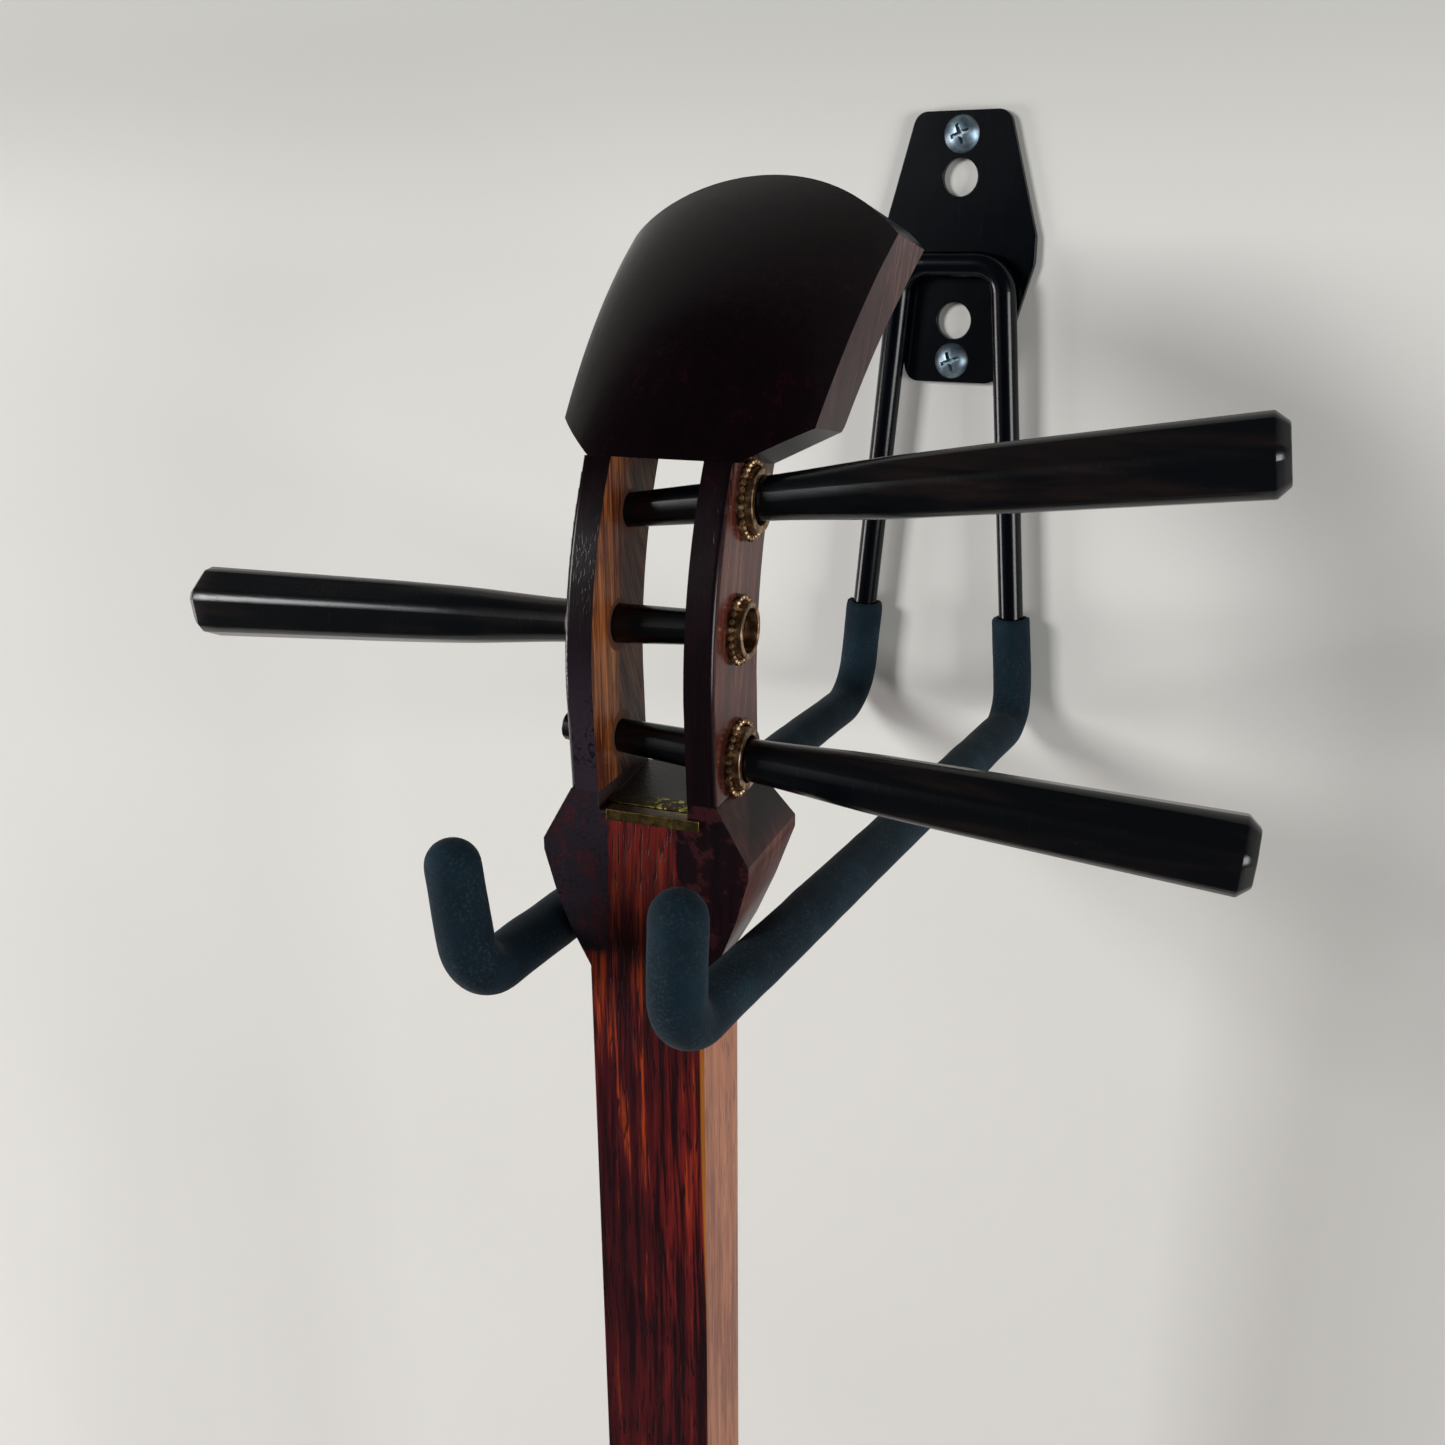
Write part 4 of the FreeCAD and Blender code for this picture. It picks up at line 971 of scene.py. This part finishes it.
@dataclass
class PegboxAndNeck:
    """The lacquered head and pegbox, the neck's three lengths, the nut and the slot plate."""

    head_edge: float = 0.6 * MM
    neck_edge: float = 0.45 * MM
    brass_edge: float = 0.18 * MM
    cheek_foot: float = 5.2 * MM
    upper_joint: float = -205.0 * MM
    lower_joint: float = -415.0 * MM
    lacquer: Lacquer = Lacquer("dark_lacquer", 0.22)
    wood: NeckWood = NeckWood("striped_red_wood", 0.34)
    brass: OldBrass = OldBrass(
        "nut_brass", 0.38, dark=(44, 34, 22), middle=(92, 76, 44), light=(132, 112, 66))
    gilt: OldBrass = OldBrass(
        "worn_gilt", 0.45, dark=(30, 26, 18), middle=(62, 54, 28), light=(96, 84, 42), flecks=0.9)

    def build(self) -> None:
        """Dress the head, the neck and their fittings."""
        lacquer, wood = self.lacquer.make(), self.wood.make()
        joints = (self.cheek_foot, self.upper_joint, self.lower_joint)
        softened("pegbox_head", Body.LUTE, lacquer, self.head_edge, joints)
        for node in ("upper_neck", "middle_neck", "lower_neck"):
            softened(node, Body.LUTE, wood, self.neck_edge, joints)
        softened("nut", Body.LUTE, self.brass.make(), self.brass_edge)
        softened("slot_plate", Body.LUTE, self.gilt.make(), self.brass_edge)


@dataclass(frozen=True)
class Bushing:
    """A brass bushing's outer part: a collar about the hole, a groove and a ring of beads."""

    ring_radius: float
    collar_radius: float
    groove: float
    bead_inset: float
    ring_height: float = 1.3 * MM
    collar_height: float = 2.8 * MM
    ring_foot: float = 0.4 * MM
    bead_radius: float = 0.78 * MM
    bead_height: float = 0.80 * MM
    bead_spacing: float = 1.5 * MM
    lip: float = 0.28 * MM
    reach: float = 0.06 * MM

    def shape(self, node: str, centre: Vector, out: Vector) -> Mesh:
        """Cut the groove into a copy of the plain bushing, ease its lip and set the beads round it.

        Args:
            node: the plain bushing's node.
            centre: its middle, on the cheek's face.
            out: the way it points.

        Returns:
            The bushing.
        """
        mesh = merged(node)
        for vert in mesh.verts:
            along = (vert.co - centre).dot(out)
            radial = vert.co - centre - out * along
            if abs(along - self.ring_height) < self.reach:
                vert.co += out * (self.ring_foot - along)
            if abs(radial.length - self.collar_radius) < self.reach and along > self.ring_foot:
                vert.co -= radial.normalized() * self.groove
        lips = [edge for edge in mesh.edges
                if all((vert.co - centre).dot(out) > self.collar_height - self.reach for vert in edge.verts)
                and edge.is_manifold and edge.calc_face_angle(0.0) > SHARP]
        ease(mesh, lips, self.lip)
        around = self.ring_radius - self.bead_inset
        count = round(math.tau * around / self.bead_spacing)
        stand = Vector((1, 0, 0)).rotation_difference(out).to_matrix().to_4x4()
        offset = Matrix.Translation((self.bead_height, around, 0))
        for number in range(count):
            turn = Matrix.Rotation(math.tau * number / count, 4, "X")
            seat = Matrix.Translation(centre) @ stand @ turn @ offset
            bmesh.ops.create_uvsphere(mesh, u_segments=8, v_segments=5, radius=self.bead_radius, matrix=seat)
        return mesh


@dataclass(frozen=True)
class Peg:
    """One peg: a tapered shaft that swells into a long six-sided handle, whose ridges fade in."""

    name: str
    body: Body
    side: int
    roll: float
    through: float
    reach: float
    half_box: float = 15.4 * MM
    tip_radius: float = 3.12 * MM
    taper: float = 0.0302
    swell: float = 19.0 * MM
    swell_curve: float = 0.45
    middle: float = 46.0 * MM
    middle_flat: float = 5.75 * MM
    ridge_from: float = 24.0 * MM
    ridge_full: float = 66.0 * MM
    end_flat: float = 7.2 * MM
    end_bevel: float = 7.6 * MM
    chamfer: float = 2.0 * MM
    chamfer_length: float = 2.4 * MM
    fullness: float = 1.02
    rounding: float = 0.22 * MM
    end_shrink: float = 0.8
    shoulder_step: float = 0.4
    spacing: float = 4.0 * MM
    flat_shares: tuple[float, ...] = (-1.0, -0.9, -0.45, 0.0, 0.45, 0.9, 1.0)

    def flat(self, along: float) -> float:
        """Distance of the flats from the axis at a distance along the peg.

        Args:
            along: the distance from the middle of the pegbox.

        Returns:
            The distance, along a gently curved swell.
        """
        if along < self.swell:
            return self.tip_radius + self.taper * (along + self.half_box)
        at_swell = self.tip_radius + self.taper * (self.swell + self.half_box)
        if along < self.middle:
            share = (along - self.swell) / (self.middle - self.swell)
            eased = smooth(share) * self.swell_curve + share * (1 - self.swell_curve)
            return at_swell + (self.middle_flat - at_swell) * eased
        shoulder = self.reach - self.chamfer_length
        share = min((along - self.middle) / (shoulder - self.middle), 1.0)
        wide = self.middle_flat + (self.end_flat - self.middle_flat) * share
        return wide - self.chamfer * max((along - shoulder) / self.chamfer_length, 0.0)

    def ring(self, along: float) -> list[Vector]:
        """The points round the peg at a distance along it: a circle that turns into a hexagon.

        Args:
            along: the distance from the middle of the pegbox.

        Returns:
            Points in the peg's own axes, X along it.
        """
        flat = self.flat(along)
        bevel = flat + (self.end_bevel - self.end_flat) * min(max(along / self.middle, 0.0), 1.0)
        half_side = (bevel - flat * math.cos(math.pi / 6)) / math.sin(math.pi / 6)
        corner = math.atan2(half_side, flat)
        ridge = smooth(min(max((along - self.ridge_from) / (self.ridge_full - self.ridge_from), 0.0), 1.0))
        points = []
        for side in range(6):
            for part in self.flat_shares:
                turn = side * math.pi / 3 + corner * part
                hexagon = flat / math.cos(corner * part)
                circle = flat * self.fullness
                radius = circle + (hexagon - circle) * ridge
                points.append(Vector((along, radius * math.cos(turn), radius * math.sin(turn))))
        return points

    def stations(self) -> list[float]:
        """Distances along the peg at which it gets a ring of points."""
        tip, shoulder = -(self.half_box + self.through), self.reach - self.chamfer_length
        count = round((shoulder - tip) / self.spacing)
        even = [tip + self.rounding + (shoulder - tip - 2 * self.rounding) * step / count
                for step in range(count + 1)]
        end = [shoulder + self.rounding * self.shoulder_step, self.reach - self.rounding, self.reach]
        return [tip] + even + end

    def extended(self, mesh: Mesh, ring: list[Vert]) -> list[Vert]:
        """Extrude a ring of points.

        Args:
            mesh: the mesh.
            ring: the points at its open end.

        Returns:
            The new ring, in the same order.
        """
        old = set(ring)
        edges = [edge for edge in mesh.edges if all(vert in old for vert in edge.verts)]
        drawn = bmesh.ops.extrude_edge_only(mesh, edges=edges)["geom"]
        after = {edge.other_vert(vert): vert for vert in drawn if isinstance(vert, Vert)
                 for edge in vert.link_edges if edge.other_vert(vert) in old}
        return [after[vert] for vert in ring]

    def shape(self, joint: dict[str, Any]) -> Mesh:
        """Draw the first ring out along the peg, station by station, and close both ends.

        Args:
            joint: the peg's joint.

        Returns:
            The peg, in its place.
        """
        mesh = bmesh.new()
        stations = self.stations()
        ring = list(bmesh.ops.create_circle(mesh, segments=6 * len(self.flat_shares), radius=1.0)["verts"])
        bmesh.ops.contextual_create(mesh, geom=ring)
        for number, along in enumerate(stations):
            if number:
                ring = self.extended(mesh, ring)
            shrink = self.rounding * self.end_shrink if number in (0, len(stations) - 1) else 0.0
            for vert, point in zip(ring, self.ring(along)):
                vert.co = point - Vector((0, point.y, point.z)).normalized() * shrink
        bmesh.ops.contextual_create(mesh, geom=ring)
        bmesh.ops.recalc_face_normals(mesh, faces=mesh.faces)
        axis = Vector(joint["axis"])
        centre = Vector(joint["pos_m"]) - axis * (self.half_box / axis.dot(PLACE.across * self.side))
        level = PLACE.backward * self.side
        place = Matrix((axis, level, axis.cross(level))).transposed().to_4x4()
        place.translation = centre
        bmesh.ops.transform(mesh, matrix=place @ Matrix.Rotation(self.roll, 4, "X"), verts=mesh.verts)
        return mesh


@dataclass
class Pegs:
    """The three ebony pegs and the two bushings of each."""

    grip: Bushing = Bushing(7.7 * MM, 6.6 * MM, 0.35 * MM, 0.5 * MM)
    tip: Bushing = Bushing(6.6 * MM, 5.95 * MM, 0.5 * MM, 0.4 * MM)
    ebony: Ebony = Ebony("polished_ebony", 0.24)
    brass: BushingBrass = BushingBrass("bushing_brass", 0.40)
    pegs: tuple[Peg, ...] = (
        Peg("top", Body.TOP_PEG, 1, math.radians(19), 2.0 * MM, 111.0 * MM),
        Peg("middle", Body.MIDDLE_PEG, -1, math.radians(-6), 0.5 * MM, 109.5 * MM),
        Peg("bottom", Body.BOTTOM_PEG, 1, math.radians(14), 6.0 * MM, 112.5 * MM),
    )

    def seats(self, peg: Peg, joint: dict[str, Any]) -> dict[str, tuple[Vector, Vector]]:
        """Where a peg's two bushings sit.

        Args:
            peg: the peg.
            joint: its joint.

        Returns:
            For each kind of bushing, its middle on the cheek's face and the way it points.
        """
        centre, axis, out = Vector(joint["pos_m"]), Vector(joint["axis"]), PLACE.across * peg.side
        far = centre - axis * (2 * peg.half_box / axis.dot(out))
        return {"grip": (centre, out), "tip": (far, -out)}

    def build(self) -> None:
        """Make the pegs and their bushings."""
        ebony, brass = self.ebony.make(), self.brass.make()
        joints = {joint["child"]: joint for joint in frame["joints"]}
        for peg in self.pegs:
            joint = joints[peg.body.value]
            put_on(link(f"carved_peg_{peg.name}", peg.shape(joint), 32.0), peg.body,
                   f"peg_{peg.name}", ebony)
            for kind, (centre, out) in self.seats(peg, joint).items():
                node = f"bushing_{peg.name}_{kind}"
                bushing = self.grip if kind == "grip" else self.tip
                put_on(link("beaded_" + node, bushing.shape(node, centre, out), 35.0), Body.LUTE,
                       node, brass)


@dataclass
class SoundBox:
    """The four boards and the two skins."""

    board_edge: float = 0.4 * MM
    skin_edge: float = 0.3 * MM
    skin_cut: tuple[float, float] = (208 * MM, 223 * MM)
    front_area: float = 0.0428
    back_area: float = 0.0431
    upright: BoxWood = BoxWood("box_wood_upright", 0.26)
    level: BoxWood = BoxWood("box_wood_level", 0.26, True)
    skin: Parchment = Parchment("parchment_skin", 0.46)

    def build(self) -> None:
        """Dress the boards and the skins."""
        upright, level, skin = self.upright.make(), self.level.make(), self.skin.make()
        for node, material in (("left_board", upright), ("right_board", upright),
                               ("top_board", level), ("bottom_board", level)):
            softened(node, Body.LUTE, material, self.board_edge)
        for node, area in (("front_skin", self.front_area), ("back_skin", self.back_area)):
            piece = softened(node, Body.LUTE, skin, self.skin_edge)


# -------------------- surroundings

@dataclass(frozen=True)
class Lamp:
    """A square soft lamp."""

    name: str
    place: Place
    target: Place
    size: float
    power: float
    colour: Colour = (1.0, 1.0, 1.0)

    def hang(self) -> None:
        """Hang the lamp and turn it to its target."""
        data = bpy.data.lights.new(self.name, "AREA")
        data.size, data.energy, data.color = self.size, self.power, self.colour
        lamp = bpy.data.objects.new(self.name, data)
        lamp.location = self.place
        lamp.rotation_euler = (Vector(self.target) - Vector(self.place)).to_track_quat("-Z", "Y").to_euler()
        bpy.context.scene.collection.objects.link(lamp)


@dataclass
class Room:
    """A pale wall and floor, the lamps and the camera."""

    wall_gap: float = 0.2 * MM
    half_width: float = 2.2
    wall_top: float = 1.6
    floor_level: float = -1.06
    floor_reach: float = 0.42
    wall_colour: Colour = (214, 213, 208)
    wall_clouds: Colour = (219, 218, 213)
    # Painted shade: the greyer tone that the paper takes high up.
    shaded_upper_wall: Colour = (196, 196, 190)
    dim_above: float = 70.0 * MM
    sky_colour: tuple[float, float, float, float] = (0.92, 0.95, 1.0, 1.0)
    sky_strength: float = 0.08
    lamps: tuple[Lamp, ...] = (
        Lamp("key", (-1.6, -2.1, 0.6), (0, -0.15, -0.2), 0.8, 48.0),
        Lamp("fill", (-2.4, -1.0, -0.6), (0, -0.05, -0.25), 0.8, 30.0, (1.0, 0.94, 0.95)),
        Lamp("side", (2.1, -1.0, -0.2), (0, -0.15, -0.2), 0.9, 34.0),
    )
    camera_place: Place = (132.3 * MM, -404.8 * MM, 4.5 * MM)
    camera_turn: float = math.radians(27.13)
    camera_fall: float = math.radians(18.90)
    camera_roll: float = math.radians(-0.27)
    lens: float = 35.54
    film: float = 36.0

    def surface(self, name: str, corner: Vector, along: Vector, up: Vector) -> None:
        """Make one flat surface that is seen from its front only.

        Args:
            name: its name.
            corner: one corner.
            along: the edge from that corner.
            up: the other edge from it.
        """
        mesh = bmesh.new()
        corners = [corner, corner + along, corner + along + up, corner + up]
        mesh.faces.new([mesh.verts.new(point) for point in corners])
        surface = link(name, mesh)
        dress(surface, self.paper(name + "_paper"))

    def paper(self, name: str) -> Material:
        """Pale matt paper, with painted shade that makes it a little darker above, and clear from behind."""
        material = bpy.data.materials.new(name)
        material.use_nodes = True
        material.node_tree.nodes.clear()
        tree = Tree(material.node_tree)
        place = tree.node("TexCoord").outputs["Object"]
        clouds = tree.step(tree.noise(place, 3.0, 2.0), 0.3, 0.7)
        colour = tree.blend(clouds, self.wall_colour, self.wall_clouds)
        # Painted shade: the paper darkens above 70 mm towards a greyer tone.
        colour = tree.blend(tree.step(tree.parts(place)[2], 0.0, self.dim_above), colour, self.shaded_upper_wall)
        matt = tree.node("BsdfDiffuse", {"Color": colour})
        clear = tree.node("BsdfTransparent")
        behind = tree.node("NewGeometry").outputs["Backfacing"]
        mixed = tree.node("MixShader", {0: behind, 1: matt.outputs[0], 2: clear.outputs[0]})
        tree.node("OutputMaterial", {"Surface": mixed.outputs[0]})
        return material

    def sky(self) -> None:
        """Give the world an even pale light."""
        world = bpy.data.worlds.new("pale_room")
        world.use_nodes = True
        background = world.node_tree.nodes["Background"]
        background.inputs["Color"].default_value = self.sky_colour
        background.inputs["Strength"].default_value = self.sky_strength
        bpy.context.scene.world = world

    def camera(self) -> None:
        """Set the camera up and to the right of the lute, looking down to the left."""
        data = bpy.data.cameras.new("camera")
        data.lens, data.sensor_width = self.lens, self.film
        data.clip_start, data.clip_end = 0.01, 20.0
        camera = bpy.data.objects.new("camera", data)
        aim = (Matrix.Rotation(self.camera_turn, 4, "Z")
               @ Matrix.Rotation(math.pi / 2 - self.camera_fall, 4, "X")
               @ Matrix.Rotation(self.camera_roll, 4, "Z"))
        camera.matrix_world = Matrix.Translation(self.camera_place) @ aim
        bpy.context.scene.collection.objects.link(camera)
        bpy.context.scene.camera = camera

    def build(self) -> None:
        """Make the surroundings."""
        left, width = -self.half_width, Vector((2 * self.half_width, 0, 0))
        self.surface("wall", Vector((left, self.wall_gap, self.floor_level)), width,
                     Vector((0, 0, self.wall_top - self.floor_level)))
        self.surface("floor", Vector((left, -self.floor_reach, self.floor_level)), width,
                     Vector((0, self.floor_reach + self.wall_gap, 0)))
        for lamp in self.lamps:
            lamp.hang()
        self.sky()
        self.camera()
        LOG.info("room: wall, floor, lamps and camera")


def main() -> None:
    """Build and dress everything in order."""
    logging.basicConfig(level=logging.INFO, format="%(name)s %(message)s")
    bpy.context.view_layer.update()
    bpy.context.scene.view_settings.view_transform = "Standard"
    for assembly in (WallHanger(), PegboxAndNeck(), Pegs(), SoundBox(), Room()):
        assembly.build()


if __name__ == "__main__":
    main()
